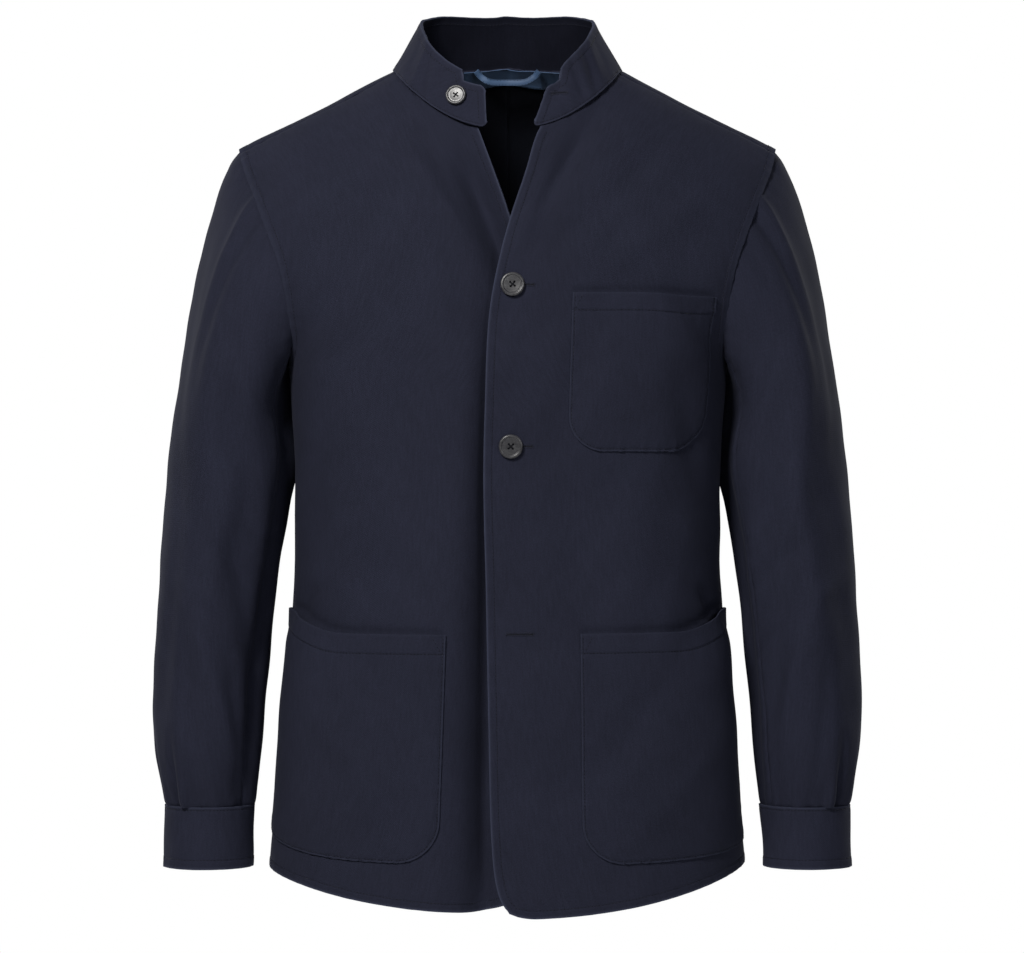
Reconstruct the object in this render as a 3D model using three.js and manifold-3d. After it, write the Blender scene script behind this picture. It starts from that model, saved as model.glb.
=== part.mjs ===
// A shirt jacket that keeps its worn form: stand collar, two fronts, two-piece sleeves, three patch pockets.
// Millimetres, +Z up. The front faces -Y and the wearer's left is +X.
// The origin lies midway between the two neck points of the shoulders.

import * as THREE from 'three';
import { mergeVertices } from 'three/addons/utils/BufferGeometryUtils.js';
import Module from 'manifold-3d';

const wasm = await Module();
wasm.setup();

const degree = Math.PI / 180;

// Thickness of each cloth wall, and the gap that the pieces keep at their seams.
const wall = { body: 1.6, sleeve: 1.4, collar: 2.2, cuff: 2, pocket: 1.4, facing: 1, loop: 1.2 };
const seamGap = 0.3;

// The ridge of the shoulders, from the middle of the neck out past the armhole.
const shoulderLine = [
  { x: 0, z: 24 },
  { x: 60, z: 13.5 },
  { x: 95, z: 0 },
  { x: 130, z: -18.5 },
  { x: 180, z: -43.5 },
  { x: 212, z: -58.5 },
  { x: 230, z: -68.5 },
  { x: 250, z: -80 },
];

// Half width, and depth before and behind the side seams, by drop below the ridge.
const bodySections = [
  { drop: 0, half: 240, front: 118, back: 116 },
  { drop: 80, half: 240, front: 119, back: 118 },
  { drop: 130, half: 236, front: 120, back: 120 },
  { drop: 165, half: 226, front: 121, back: 120 },
  { drop: 200, half: 210, front: 122, back: 119 },
  { drop: 229, half: 197, front: 122, back: 118 },
  { drop: 258, half: 188.5, front: 122, back: 117 },
  { drop: 300, half: 184, front: 121, back: 113 },
  { drop: 340, half: 182, front: 120, back: 110 },
  { drop: 420, half: 181.5, front: 120, back: 107 },
  { drop: 461, half: 183.5, front: 122, back: 108 },
  { drop: 512, half: 189.5, front: 126, back: 112 },
  { drop: 577, half: 194.5, front: 131, back: 118 },
  { drop: 617, half: 197, front: 134, back: 122 },
  { drop: 648, half: 200, front: 136, back: 125 },
  { drop: 680, half: 202.5, front: 137, back: 127 },
  { drop: 730, half: 204, front: 139, back: 129 },
];
const girthPower = 2.5;
const frontCrown = 260;
const backCrown = 118;
const ridgeSoftness = 60;
const armpitDrop = 258;

// The armhole from the shoulder tip (share 0) to the armpit (share 1), before and behind.
// The row past the armpit keeps the curve level there.
const armholeFront = [
  { share: 0, angle: 73.4, drop: 0 },
  { share: 0.25, angle: 61.8, drop: 72 },
  { share: 0.5, angle: 56.5, drop: 156 },
  { share: 0.75, angle: 68.5, drop: 229 },
  { share: 1, angle: 90, drop: armpitDrop },
  { share: 1.25, angle: 111.5, drop: 229 },
];
const armholeBack = [
  { share: 0, angle: 73.4, drop: 0 },
  { share: 0.25, angle: 66, drop: 70 },
  { share: 0.5, angle: 63.5, drop: 150 },
  { share: 0.75, angle: 74.5, drop: 228 },
  { share: 1, angle: 90, drop: armpitDrop },
  { share: 1.25, angle: 105.5, drop: 228 },
];
const armholeCells = 10;
const sideCells = 16;

// The neckline, and the shoulder seam that runs a little before the ridge.
const neckHalf = 95;
const neckRunFront = 122;
const neckRunBack = 44;
const shoulderSeamRun = 25;
const neckCells = 6;
const frontShoulderCells = 8;
const backNeckCells = 6;

// Edges of the two fronts from neckline to hem. The wearer's left front laps over the right one.
const leftFrontEdge = [
  { x: 28.5, z: -52 },
  { x: 22.9, z: -67.5 },
  { x: 15.4, z: -94 },
  { x: 2.9, z: -132.8 },
  { x: -7.9, z: -174 },
  { x: -15, z: -215 },
  { x: -18.5, z: -290 },
  { x: -19.7, z: -352 },
  { x: -17.7, z: -442 },
  { x: -15.2, z: -567 },
  { x: -13.5, z: -638 },
  { x: -10.3, z: -678 },
  { x: -5.5, z: -697 },
  { x: 2, z: -708 },
];
const rightFrontEdge = [
  { x: -24.6, z: -53.5 },
  { x: -10.6, z: -94 },
  { x: 2.9, z: -132.8 },
  { x: 12.5, z: -162 },
  { x: 19, z: -200 },
  { x: 22, z: -260 },
  { x: 22, z: -400 },
  { x: 22, z: -560 },
  { x: 22, z: -650 },
  { x: 18.5, z: -678 },
  { x: 9, z: -697 },
];

// Hem heights at the middle and at the side seams.
const hemPower = 2.2;
const hem = {
  leftFront: { low: -712.6, side: -677, cornerRise: 4.6, cornerShare: 0.07 },
  rightFront: { low: -708.5, side: -681, cornerRise: 11.5, cornerShare: 0.14 },
  leftBack: { low: -709, side: -677, cornerRise: 0, cornerShare: 1 },
  rightBack: { low: -709, side: -681, cornerRise: 0, cornerShare: 1 },
};

// Where the fronts lap, each keeps this far off the middle layer.
const lapLift = 1.3;
const lapFrom = 30;
const lapTo = 72;

// Below the second button the lower front falls back from the upper one.
const fallBack = { top: -350, bottom: -640, depth: 9, edge: -18, reachTop: 22, reachBottom: 52 };

// The largest folds: centre, length, half width, depth (below zero sinks in) and lean from upright.
const frontFolds = [
  { x: -45, z: -98, length: 140, width: 15, depth: -4.5, lean: 31 },
  { x: 56, z: -70, length: 110, width: 13, depth: -3.5, lean: -35 },
  { x: -70, z: -175, length: 120, width: 16, depth: 2, lean: 24 },
  { x: 78, z: -130, length: 100, width: 14, depth: 1.6, lean: -28 },
  { x: -165, z: -225, length: 90, width: 13, depth: -3, lean: -38 },
  { x: 166, z: -225, length: 90, width: 13, depth: -3, lean: 38 },
  { x: -120, z: -330, length: 170, width: 24, depth: 2.2, lean: 14 },
  { x: 112, z: -395, length: 180, width: 24, depth: 2.4, lean: -10 },
];
const backFolds = [
  { x: -172, z: -215, length: 110, width: 14, depth: -3.5, lean: -30 },
  { x: 172, z: -218, length: 105, width: 14, depth: -3.5, lean: 30 },
  { x: -96, z: -360, length: 260, width: 26, depth: 3, lean: -7 },
  { x: 88, z: -380, length: 240, width: 24, depth: 3, lean: 8 },
  { x: 20, z: -420, length: 220, width: 24, depth: -2.4, lean: 3 },
];

// Sleeve sections, each a ring: middle (across, fore), half width, half depth.
const sleeveRings = [
  { fall: 258, x: 235, half: 44.5, y: 0, depth: 72 },
  { fall: 300, x: 237, half: 49, y: -1, depth: 69 },
  { fall: 338, x: 238, half: 52.5, y: -3, depth: 66 },
  { fall: 382, x: 242, half: 52, y: -6, depth: 64 },
  { fall: 420, x: 246, half: 50.5, y: -10, depth: 62 },
  { fall: 484, x: 250.5, half: 48.4, y: -16, depth: 60 },
  { fall: 540, x: 254, half: 46.8, y: -21, depth: 57 },
  { fall: 579, x: 254.6, half: 44.2, y: -25, depth: 52 },
  { fall: 605, x: 254, half: 41, y: -27, depth: 46 },
  { fall: 628, x: 253.2, half: 37.3, y: -29, depth: 37 },
];
const sleeveJoin = 300;
const sleeveEnd = 628;
const headCells = 8;
const armCells = 12;
// How far the sleeve's edge keeps from the armhole: aside at the top, and off the body under the arm.
const sleeveClear = { aside: 1.1, off: 0.2, underOff: 2.1, underFrom: 0.5, underTo: 0.9 };
const sleeveSeamHalf = 0.21;

// How the sleeve leaves the armhole: its downward slope and the lengths of the two handles of the curve.
const sleeveHead = [
  { turn: 0, slope: 52, away: 40, into: 82 },
  { turn: 45, slope: 46, away: 34, into: 74 },
  { turn: 90, slope: 44, away: 26, into: 52 },
  { turn: 135, slope: 70, away: 14, into: 26 },
  { turn: 180, slope: 88, away: 8, into: 14 },
];

// Sleeve seams, as shares of the armhole: the forward one on the inner side, the other behind.
const frontSeamCell = 8;
const backSeamCell = 7;

// Pleats in the sleeve: turn round the ring from the outermost line, heights, half width and depth.
const sleevePleats = [
  { turn: 50, from: 556, to: 650, head: false, width: 5.5, depth: -4.2 },
  { turn: 63, from: 560, to: 650, head: false, width: 7, depth: 2.4 },
  { turn: 16, from: 540, to: 650, head: false, width: 6, depth: -2.6 },
  { turn: 128, from: 580, to: 650, head: false, width: 6, depth: -2 },
  { turn: 52, from: 70, to: 230, head: true, width: 4.5, depth: -2.4 },
  { turn: 38, from: 70, to: 220, head: true, width: 4.5, depth: 2.2 },
  { turn: 74, from: 84, to: 260, head: true, width: 5.5, depth: -2 },
  { turn: -46, from: 70, to: 230, head: true, width: 5, depth: -2.2 },
  { turn: -62, from: 84, to: 250, head: true, width: 6, depth: 2 },
];

const cuff = {
  top: -629.2, bottom: -680, bottomX: 255, bottomY: -31,
  half: 37.4, halfBottom: 36.4, depth: 36.8, depthBottom: 35.8,
};
const cuffLap = { start: -124, degrees: 36, lift: 1.6, ramp: 0.05, buttonAt: 0.5 };
const cuffHole = { length: 17, width: 2.6 };
const cuffCells = 24;
const cuffRows = 2;

const collar = {
  rightEnd: -169.6,
  leftEnd: 167,
  height: 45,
  tabHeight: 36,
  tabLength: 21,
  stepLength: 3,
  corner: 5,
  stand: 3.05,
  cells: 22,
  rows: 4,
};
const neckSamples = 80;
// By turn from the middle of the back: the collar's inward lean, the sideways tilt of its ends,
// and how much higher it stands than at the middle.
const collarLean = [
  { turn: -170, lean: 15, tilt: 0.07, higher: 0 },
  { turn: -140, lean: 19, tilt: 0.03, higher: 1 },
  { turn: -90, lean: 30, tilt: 0, higher: 4.5 },
  { turn: 0, lean: 24, tilt: 0, higher: 0 },
  { turn: 90, lean: 30, tilt: 0, higher: 4.5 },
  { turn: 140, lean: 19, tilt: 0, higher: 1 },
  { turn: 168, lean: 15, tilt: -0.28, higher: 0 },
];

// Patch pockets on the fronts: mouth and foot heights, inner and outer edges, corner radius.
// "belly" is how far the mouth stands open, and "bellyAt" where along the mouth.
const pockets = {
  pocket_chest: {
    side: 1, inner: 54, innerFoot: 50, outer: 174, outerFoot: 163, mouth: -197, mouthSide: -198.5,
    foot: -328, footSide: -328, corner: 30, belly: 5.2, bellyAt: 0.5,
  },
  pocket_lower_left: {
    side: 1, inner: 60.5, innerFoot: 62, outerAngle: 86.5, mouth: -479, mouthSide: -461,
    foot: -668, footSide: -656, corner: 34, belly: 8.4, bellyAt: 0.66,
  },
  pocket_lower_right: {
    side: -1, inner: 50.5, innerFoot: 57, outerAngle: 86.5, mouth: -480, mouthSide: -461,
    foot: -667, footSide: -648, corner: 34, belly: 8.4, bellyAt: 0.66,
  },
};
const pocketStandOff = 1.2;
const pocketCells = 11;
// Shape of a pocket: where the mouth begins to rise to the side seam, and how the gape fades down.
const pocketShape = { riseFrom: 0.35, riseTo: 1.05, footPower: 2, gapePower: 2.2 };
const cornerRows = [0.55, 0.18];

// Buttons down the front, and on the collar and the cuffs.
const frontButton = { radius: 10, thick: 3.2 };
const collarButton = { radius: 8.6, thick: 3 };
const cuffButton = { radius: 7.5, thick: 2.6 };
const threadRadius = 1;
const frontButtons = [
  { name: 'button_front_1', x: 4.3, z: -190.5, fastened: true },
  { name: 'button_front_2', x: 2.9, z: -324.2, fastened: true },
  { name: 'button_front_3', x: 3.4, z: -479.2, fastened: false },
];
const buttonhole = { from: -1.4, to: 20, width: 3 };
const slitOver = 1.4;
const collarHole = { x: 44, level: 0.56, length: 17, width: 2.4 };
const collarButtonPlace = { x: -42.5, level: 0.42 };
const buttonFacets = 16;
// Button profile from the foot of the rim to the dish, in shares of the radius and the thickness.
const buttonProfile = [
  { across: 0.86, up: 0 },
  { across: 1, up: 0.3 },
  { across: 1, up: 0.75 },
  { across: 0.9, up: 1 },
  { across: 0.72, up: 0.94 },
  { across: 0.62, up: 0.7 },
  { across: 0, up: 0.7 },
];
const buttonEye = { reach: 0.27, radius: 0.1, facets: 6 };

const loopCells = 18;
const loop = { width: 5, standOff: 13, seat: 1.2, forward: 3.4 };
// Half of the loop from its end to its middle: place, and share of the stand-off from the facing.
const loopBends = [
  { x: 28, z: 5.5, off: 0 },
  { x: 24, z: 1, off: 0.42 },
  { x: 18, z: -3, off: 0.94 },
  { x: 13, z: -4, off: 1 },
];
const loopMiddle = { x: 0, z: -4, off: 1 };

const colours = {
  cloth: { color: 0x23253a, roughness: 0.9, metalness: 0 },
  facing: { color: 0x2b456d, roughness: 0.6, metalness: 0 },
  horn: { color: 0x44454c, roughness: 0.45, metalness: 0 },
};

const clamp = THREE.MathUtils.clamp;
const mix = THREE.MathUtils.lerp;

function ease(from, to, value) {
  const share = clamp((value - from) / (to - from), 0, 1);
  return share * share * (3 - 2 * share);
}

// Smooth value of a table's column where its key column reads "at".
function read(rows, key, column, at) {
  const last = rows.length - 1;
  if (at <= rows[0][key]) return rows[0][column];
  if (at >= rows[last][key]) return rows[last][column];
  let index = 0;
  while (rows[index + 1][key] < at) index += 1;
  const slopeAt = (row) => {
    const before = rows[Math.max(row - 1, 0)];
    const after = rows[Math.min(row + 1, last)];
    return (after[column] - before[column]) / (after[key] - before[key]);
  };
  const start = rows[index];
  const end = rows[index + 1];
  const span = end[key] - start[key];
  const share = (at - start[key]) / span;
  const square = share * share;
  const cube = square * share;
  return (
    (2 * cube - 3 * square + 1) * start[column] +
    (cube - 2 * square + share) * span * slopeAt(index) +
    (3 * square - 2 * cube) * end[column] +
    (cube - square) * span * slopeAt(index + 1)
  );
}

function shareList(cells, from = 0, to = 1) {
  return Array.from({ length: cells + 1 }, (_, index) => mix(from, to, index / cells));
}

// The body's surface. "angle" turns from the middle (0) to the side seam (90 degrees, in radians).
// "run" is the way down from the shoulder ridge: above zero down the front, below zero down the back.
function dropOfRun(run) {
  return Math.hypot(run, ridgeSoftness) - ridgeSoftness;
}

function runOfDrop(drop, side) {
  return side * Math.sqrt(Math.max(drop, 0) * (drop + 2 * ridgeSoftness));
}

function heightOf(x, drop) {
  return read(shoulderLine, 'x', 'z', Math.abs(x)) * (1 - ease(0, armpitDrop, drop)) - drop;
}

function bodyPoint(angle, run) {
  const drop = dropOfRun(run);
  const front = run >= 0;
  const half = read(bodySections, 'drop', 'half', drop);
  const depth = read(bodySections, 'drop', front ? 'front' : 'back', drop);
  const crown = front ? frontCrown : backCrown;
  const arch = Math.sqrt(1 - (1 - Math.min(drop / crown, 1)) ** 2);
  const sine = Math.sin(angle);
  const round = (1 - Math.abs(sine) ** girthPower) ** (1 / girthPower) * Math.sign(Math.cos(angle));
  const x = half * sine;
  return new THREE.Vector3(x, (front ? -1 : 1) * depth * arch * round, heightOf(x, drop));
}

function bodyNormal(angle, run) {
  const step = 1e-3;
  const across = bodyPoint(angle + step, run).sub(bodyPoint(angle - step, run));
  const along = bodyPoint(angle, run + 0.5).sub(bodyPoint(angle, run - 0.5));
  return along.cross(across).normalize();
}

// Angle and run of the point at x, z on the front (side 1) or the back (side -1).
function bodyPlace(x, z, side) {
  let drop = -z;
  for (let pass = 0; pass < 16; pass += 1) drop = Math.max(heightOf(x, drop) + drop - z, 0);
  const half = read(bodySections, 'drop', 'half', drop);
  return { angle: Math.asin(clamp(x / half, -1, 1)), run: runOfDrop(drop, side) };
}

function foldLift(folds, x, z) {
  let lift = 0;
  for (const fold of folds) {
    const sine = Math.sin(fold.lean * degree);
    const cosine = Math.cos(fold.lean * degree);
    const along = (x - fold.x) * sine - (z - fold.z) * cosine;
    const across = (x - fold.x) * cosine + (z - fold.z) * sine;
    lift += fold.depth * Math.exp(-((across / fold.width) ** 2) - (2 * along / fold.length) ** 4);
  }
  return lift;
}

// How far each front stands off the middle layer: lapped, and the lower one fallen back.
function lapOf(x, z, onTop) {
  if (onTop) return lapLift * (1 - ease(lapFrom, lapTo, x));
  const down = ease(fallBack.top, fallBack.bottom, z);
  const reach = mix(fallBack.reachTop, fallBack.reachBottom, down);
  const back = fallBack.depth * down * ease(fallBack.edge - reach, fallBack.edge, x);
  return -lapLift * ease(-lapTo, -lapFrom, x) - back;
}

// A point of the cloth, "lift" away from the middle of the body's wall. "piece" is left, right or back.
function clothPoint(piece, place, lift = 0) {
  const point = bodyPoint(place.angle, place.run);
  const normal = bodyNormal(place.angle, place.run);
  const front = place.run >= 0;
  const fade = front ? ease(0, shoulderSeamRun * 2, place.run) : 1;
  let off = lift + fade * foldLift(front ? frontFolds : backFolds, point.x, point.z);
  if (piece !== 'back') off += lapOf(point.x, point.z, piece === 'left');
  point.addScaledVector(normal, off);
  point.normal = normal;
  return point;
}

// Closed wall of cloth through a grid of points: a face on both sides of them and a rim round the edge.
// "inset" draws the edges in by that much: top, bottom, first and last column. A point may bring its normal.
function clothWall(grid, thickness, inset = {}) {
  const rows = grid.length;
  const columns = grid[0].length;
  const at = (row, column) => grid[clamp(row, 0, rows - 1)][clamp(column, 0, columns - 1)];
  const outer = [];
  const inner = [];
  for (let row = 0; row < rows; row += 1) {
    for (let column = 0; column < columns; column += 1) {
      const along = at(row + 1, column).clone().sub(at(row - 1, column));
      const across = at(row, column + 1).clone().sub(at(row, column - 1));
      const point = at(row, column).clone();
      const normal = at(row, column).normal ?? along.clone().cross(across).normalize();
      const inDown = normal.clone().cross(across).normalize();
      const inAcross = along.clone().cross(normal).normalize();
      if (inDown.dot(along) < 0) inDown.negate();
      if (inAcross.dot(across) < 0) inAcross.negate();
      if (row === 0) point.addScaledVector(inDown, inset.top ?? 0);
      if (row === rows - 1) point.addScaledVector(inDown, -(inset.bottom ?? 0));
      if (column === 0) point.addScaledVector(inAcross, inset.first ?? 0);
      if (column === columns - 1) point.addScaledVector(inAcross, -(inset.last ?? 0));
      outer.push(point.clone().addScaledVector(normal, thickness / 2));
      inner.push(point.clone().addScaledVector(normal, -thickness / 2));
    }
  }
  const count = rows * columns;
  const index = (row, column) => row * columns + column;
  const triangles = [];
  const quad = (a, b, c, d) => triangles.push([a, b, c], [a, c, d]);
  for (let row = 0; row < rows - 1; row += 1) {
    for (let column = 0; column < columns - 1; column += 1) {
      const here = index(row, column);
      const under = index(row + 1, column);
      quad(here, under, under + 1, here + 1);
      quad(here + count, here + 1 + count, under + 1 + count, under + count);
    }
  }
  const border = [];
  for (let column = 0; column < columns - 1; column += 1) border.push(index(0, column));
  for (let row = 0; row < rows - 1; row += 1) border.push(index(row, columns - 1));
  for (let column = columns - 1; column > 0; column -= 1) border.push(index(rows - 1, column));
  for (let row = rows - 1; row > 0; row -= 1) border.push(index(row, 0));
  border.forEach((from, step) => {
    const to = border[(step + 1) % border.length];
    quad(from, to, to + count, from + count);
  });
  const geometry = new THREE.BufferGeometry();
  const positions = [...outer, ...inner].flatMap((point) => point.toArray());
  geometry.setAttribute('position', new THREE.Float32BufferAttribute(positions, 3));
  geometry.setIndex(triangles.flat());
  return facingOut(geometry);
}

// Turns the triangles over where the closed body would be inside out.
function facingOut(geometry) {
  const position = geometry.attributes.position;
  const index = geometry.index.array;
  const [a, b, c] = [new THREE.Vector3(), new THREE.Vector3(), new THREE.Vector3()];
  let volume = 0;
  for (let start = 0; start < index.length; start += 3) {
    a.fromBufferAttribute(position, index[start]);
    b.fromBufferAttribute(position, index[start + 1]);
    c.fromBufferAttribute(position, index[start + 2]);
    volume += a.dot(b.cross(c));
  }
  if (volume < 0) {
    for (let start = 0; start < index.length; start += 3) {
      [index[start + 1], index[start + 2]] = [index[start + 2], index[start + 1]];
    }
  }
  return geometry;
}

// Solids for cutting: a closed geometry with shared corners merged.
function toSolid(geometry) {
  const bare = geometry.clone();
  bare.deleteAttribute('normal');
  bare.deleteAttribute('uv');
  const merged = mergeVertices(bare, 1e-4);
  return new wasm.Manifold(new wasm.Mesh({
    numProp: 3,
    vertProperties: new Float32Array(merged.attributes.position.array),
    triVerts: new Uint32Array(merged.index.array),
  }));
}

function cut(geometry, cutters) {
  let solid = toSolid(geometry);
  for (const cutter of cutters) solid = solid.subtract(toSolid(cutter));
  const mesh = solid.getMesh();
  const result = new THREE.BufferGeometry();
  result.setAttribute('position', new THREE.Float32BufferAttribute(mesh.vertProperties, 3));
  result.setIndex(Array.from(mesh.triVerts));
  return result;
}

// Stands a geometry's +Z along a direction at a point, with its +X kept as level as may be.
function placedAlong(geometry, point, direction) {
  const side = new THREE.Vector3(0, 0, 1).cross(direction).normalize();
  const up = direction.clone().cross(side);
  return geometry.applyMatrix4(new THREE.Matrix4().makeBasis(side, up, direction).setPosition(point));
}

const group = new THREE.Group();

function addPiece(name, geometry, colour) {
  geometry.computeVertexNormals();
  const mesh = new THREE.Mesh(geometry, new THREE.MeshStandardMaterial(colour));
  mesh.name = name;
  group.add(mesh);
}

// Patch between four edge curves, each a function of a share from 0 to 1 that gives angle and run.
function patch(edges, downs, acrosses) {
  const [topFirst, topLast] = [edges.top(0), edges.top(1)];
  const [footFirst, footLast] = [edges.foot(0), edges.foot(1)];
  return downs.map((down) => acrosses.map((across) => {
    const blend = (name) =>
      (1 - down) * edges.top(across)[name] + down * edges.foot(across)[name] +
      (1 - across) * edges.first(down)[name] + across * edges.last(down)[name] -
      (1 - across) * ((1 - down) * topFirst[name] + down * footFirst[name]) -
      across * ((1 - down) * topLast[name] + down * footLast[name]);
    return { angle: blend('angle'), run: blend('run') };
  }));
}

// Neckline by turn from the middle front: 90 degrees at the side, 180 at the back.
function neckPlace(turn) {
  const x = neckHalf * Math.sin(turn);
  const cosine = Math.cos(turn);
  const run = (cosine > 0 ? neckRunFront : neckRunBack) * cosine;
  const half = read(bodySections, 'drop', 'half', dropOfRun(run));
  return { angle: Math.asin(x / half), run };
}

function armholePlace(share, side, front) {
  const table = front ? armholeFront : armholeBack;
  const drop = read(table, 'share', 'drop', share);
  return {
    angle: side * read(table, 'share', 'angle', share) * degree,
    run: runOfDrop(drop, front ? 1 : -1),
  };
}

// Share of the front armhole at which the shoulder seam meets it.
const tipShare = (() => {
  let [low, high] = [0, 0.25];
  for (let pass = 0; pass < 30; pass += 1) {
    const middle = (low + high) / 2;
    if (armholePlace(middle, 1, true).run < shoulderSeamRun) low = middle;
    else high = middle;
  }
  return low;
})();
const neckSeamTurn = Math.acos(shoulderSeamRun / neckRunFront);

function shoulderSeam(side) {
  const from = neckPlace(neckSeamTurn);
  const to = armholePlace(tipShare, 1, true);
  return (share) => ({ angle: side * mix(from.angle, to.angle, share), run: shoulderSeamRun });
}

function sideSeam(side, hemSide) {
  const start = runOfDrop(armpitDrop, 1);
  const end = runOfDrop(-hemSide, 1);
  return (share, front) => ({ angle: (side * Math.PI) / 2, run: (front ? 1 : -1) * mix(start, end, share) });
}

function hemPlace(level, front, angle, share) {
  const corner = level.cornerRise * Math.max(0, 1 - share / level.cornerShare) ** 2;
  const z = mix(level.low, level.side, Math.abs(Math.sin(angle)) ** hemPower) + corner;
  const half = read(bodySections, 'drop', 'half', -z);
  return { angle, run: bodyPlace(half * Math.sin(angle), z, front ? 1 : -1).run };
}

// The rows of a body piece down its outer edge: armhole first, then side seam.
const armholeShare = armholeCells / (armholeCells + sideCells);
const bodyDowns = shareList(armholeCells + sideCells);

// Share of the back's length that the facing of its neck takes.
const facingShare = 0.023;

function frontPiece(side) {
  const left = side > 0;
  const level = left ? hem.leftFront : hem.rightFront;
  const rows = left ? leftFrontEdge : rightFrontEdge;
  const neckStart = Math.asin(rows[0].x / neckHalf);
  const corner = neckPlace(neckStart);
  const points = [
    bodyPoint(corner.angle, corner.run).setY(0),
    ...rows.slice(1).map((row) => new THREE.Vector3(row.x, 0, row.z)),
  ];
  const edge = new THREE.CatmullRomCurve3(points, false, 'centripetal');
  const edgePlace = (share) => {
    const point = edge.getPointAt(share);
    return bodyPlace(point.x, point.z, 1);
  };
  const neckShare = neckCells / (neckCells + frontShoulderCells);
  const seam = shoulderSeam(side);
  const flank = sideSeam(side, level.side);
  const footStart = edgePlace(1).angle;
  const edges = {
    top: (share) => {
      if (share <= neckShare) return neckPlace(mix(neckStart, side * neckSeamTurn, share / neckShare));
      return seam((share - neckShare) / (1 - neckShare));
    },
    foot: (share) => hemPlace(level, true, mix(footStart, (side * Math.PI) / 2, share), share),
    first: edgePlace,
    last: (share) => {
      if (share > armholeShare) return flank((share - armholeShare) / (1 - armholeShare), true);
      return armholePlace(mix(tipShare, 1, share / armholeShare), side, true);
    },
  };
  const places = patch(edges, bodyDowns, shareList(neckCells + frontShoulderCells));
  return places.map((row) => row.map((place) => clothPoint(left ? 'left' : 'right', place)));
}

function backPlaces(side) {
  const level = side > 0 ? hem.leftBack : hem.rightBack;
  const cells = backNeckCells + frontShoulderCells;
  const neckShare = backNeckCells / cells;
  const seam = shoulderSeam(side);
  const flank = sideSeam(side, level.side);
  const low = hemPlace(level, false, 0, 1);
  const edges = {
    top: (share) => {
      if (share <= neckShare) return neckPlace(side * mix(Math.PI, neckSeamTurn, share / neckShare));
      return seam((share - neckShare) / (1 - neckShare));
    },
    foot: (share) => hemPlace(level, false, (side * share * Math.PI) / 2, share),
    first: (share) => ({ angle: 0, run: mix(-neckRunBack, low.run, share) }),
    last: (share) => {
      if (share > armholeShare) return flank((share - armholeShare) / (1 - armholeShare), false);
      const place = mix(-tipShare, 1, share / armholeShare);
      return armholePlace(Math.abs(place), side, place < 0);
    },
  };
  return patch(edges, [0, facingShare, ...bodyDowns.slice(1)], shareList(cells));
}

function addBody() {
  const half = seamGap / 2;
  for (const [name, side] of [['left', 1], ['right', -1]]) {
    let front = clothWall(frontPiece(side), wall.body, { top: half, last: half });
    if (side > 0) front = cut(front, frontButtons.map(buttonholeCutter));
    addPiece(`front_${name}`, front, colours.cloth);
    const grid = backPlaces(side).map((row) => row.map((place) => clothPoint('back', place)));
    const seams = { top: half, first: half, last: half };
    addPiece(`back_${name}`, clothWall(grid, wall.body, seams), colours.cloth);
  }
}

// Ring of the sleeve at a fall below the origin, and the point on it at a turn from its outermost line.
// "lift" moves the point out of the ring.
function ringPoint(fall, turn, lift = 0) {
  const ring = (column) => read(sleeveRings, 'fall', column, fall);
  return new THREE.Vector3(
    ring('x') + (ring('half') + lift) * Math.cos(turn),
    ring('y') - (ring('depth') + lift) * Math.sin(turn),
    -fall,
  );
}

function pleatLift(turn, fall) {
  let lift = 0;
  for (const pleat of sleevePleats) {
    const span = pleat.to - pleat.from;
    const along = (fall - pleat.from) / span;
    if (along <= 0 || along >= 1) continue;
    const strength = pleat.head ? ease(0, 0.12, along) * (1 - along) ** 1.2 : ease(0, 1, along * 1.15);
    const across = (turn / degree - pleat.turn) / pleat.width;
    lift += pleat.depth * strength * Math.exp(-(across ** 2));
  }
  return lift;
}

// Curve that a line of the sleeve follows from the armhole down into the first full ring.
function headCurve(share, front) {
  const place = armholePlace(share, 1, front);
  const seam = bodyPoint(place.angle, place.run);
  const normal = bodyNormal(place.angle, place.run);
  const step = 0.02;
  const before = armholePlace(Math.max(share - step, 0), 1, front);
  const after = armholePlace(Math.min(share + step, 1), 1, front);
  const edge = bodyPoint(after.angle, after.run).sub(bodyPoint(before.angle, before.run));
  const away = edge.cross(normal).normalize();
  if (share < sleeveClear.underTo && away.x < 0) away.negate();
  const under = ease(sleeveClear.underFrom, sleeveClear.underTo, share);
  seam.addScaledVector(away, sleeveClear.aside * (1 - under));
  seam.addScaledVector(normal, sleeveClear.off + sleeveClear.underOff * under);
  const turn = (front ? 1 : -1) * share * Math.PI;
  const slope = read(sleeveHead, 'turn', 'slope', share * 180) * degree;
  const outward = new THREE.Vector3(Math.cos(slope), 0, -Math.sin(slope));
  const joint = ringPoint(sleeveJoin, turn);
  const course = ringPoint(sleeveJoin + 4, turn).sub(joint).normalize();
  return new THREE.CubicBezierCurve3(
    seam,
    seam.clone().addScaledVector(outward, read(sleeveHead, 'turn', 'away', share * 180)),
    joint.clone().addScaledVector(course, -read(sleeveHead, 'turn', 'into', share * 180)),
    joint,
  );
}

// Column of points down the sleeve at a signed armhole cell: above zero before, below zero behind.
function sleeveColumn(cell) {
  const front = cell >= 0;
  const share = Math.abs(cell) / armholeCells;
  const turn = (cell / armholeCells) * Math.PI;
  const head = headCurve(share, front);
  const column = shareList(headCells).map((down) => head.getPoint(down));
  for (const fall of shareList(armCells, sleeveJoin, sleeveEnd).slice(1)) column.push(ringPoint(fall, turn));
  const out = new THREE.Vector3(Math.cos(turn), -Math.sin(turn), 0);
  return column.map((point) => point.addScaledVector(out, pleatLift(turn, -point.z)));
}

function mirrored(grid, side) {
  return grid.map((row) => row.map((point) => new THREE.Vector3(side * point.x, point.y, point.z)));
}

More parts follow.
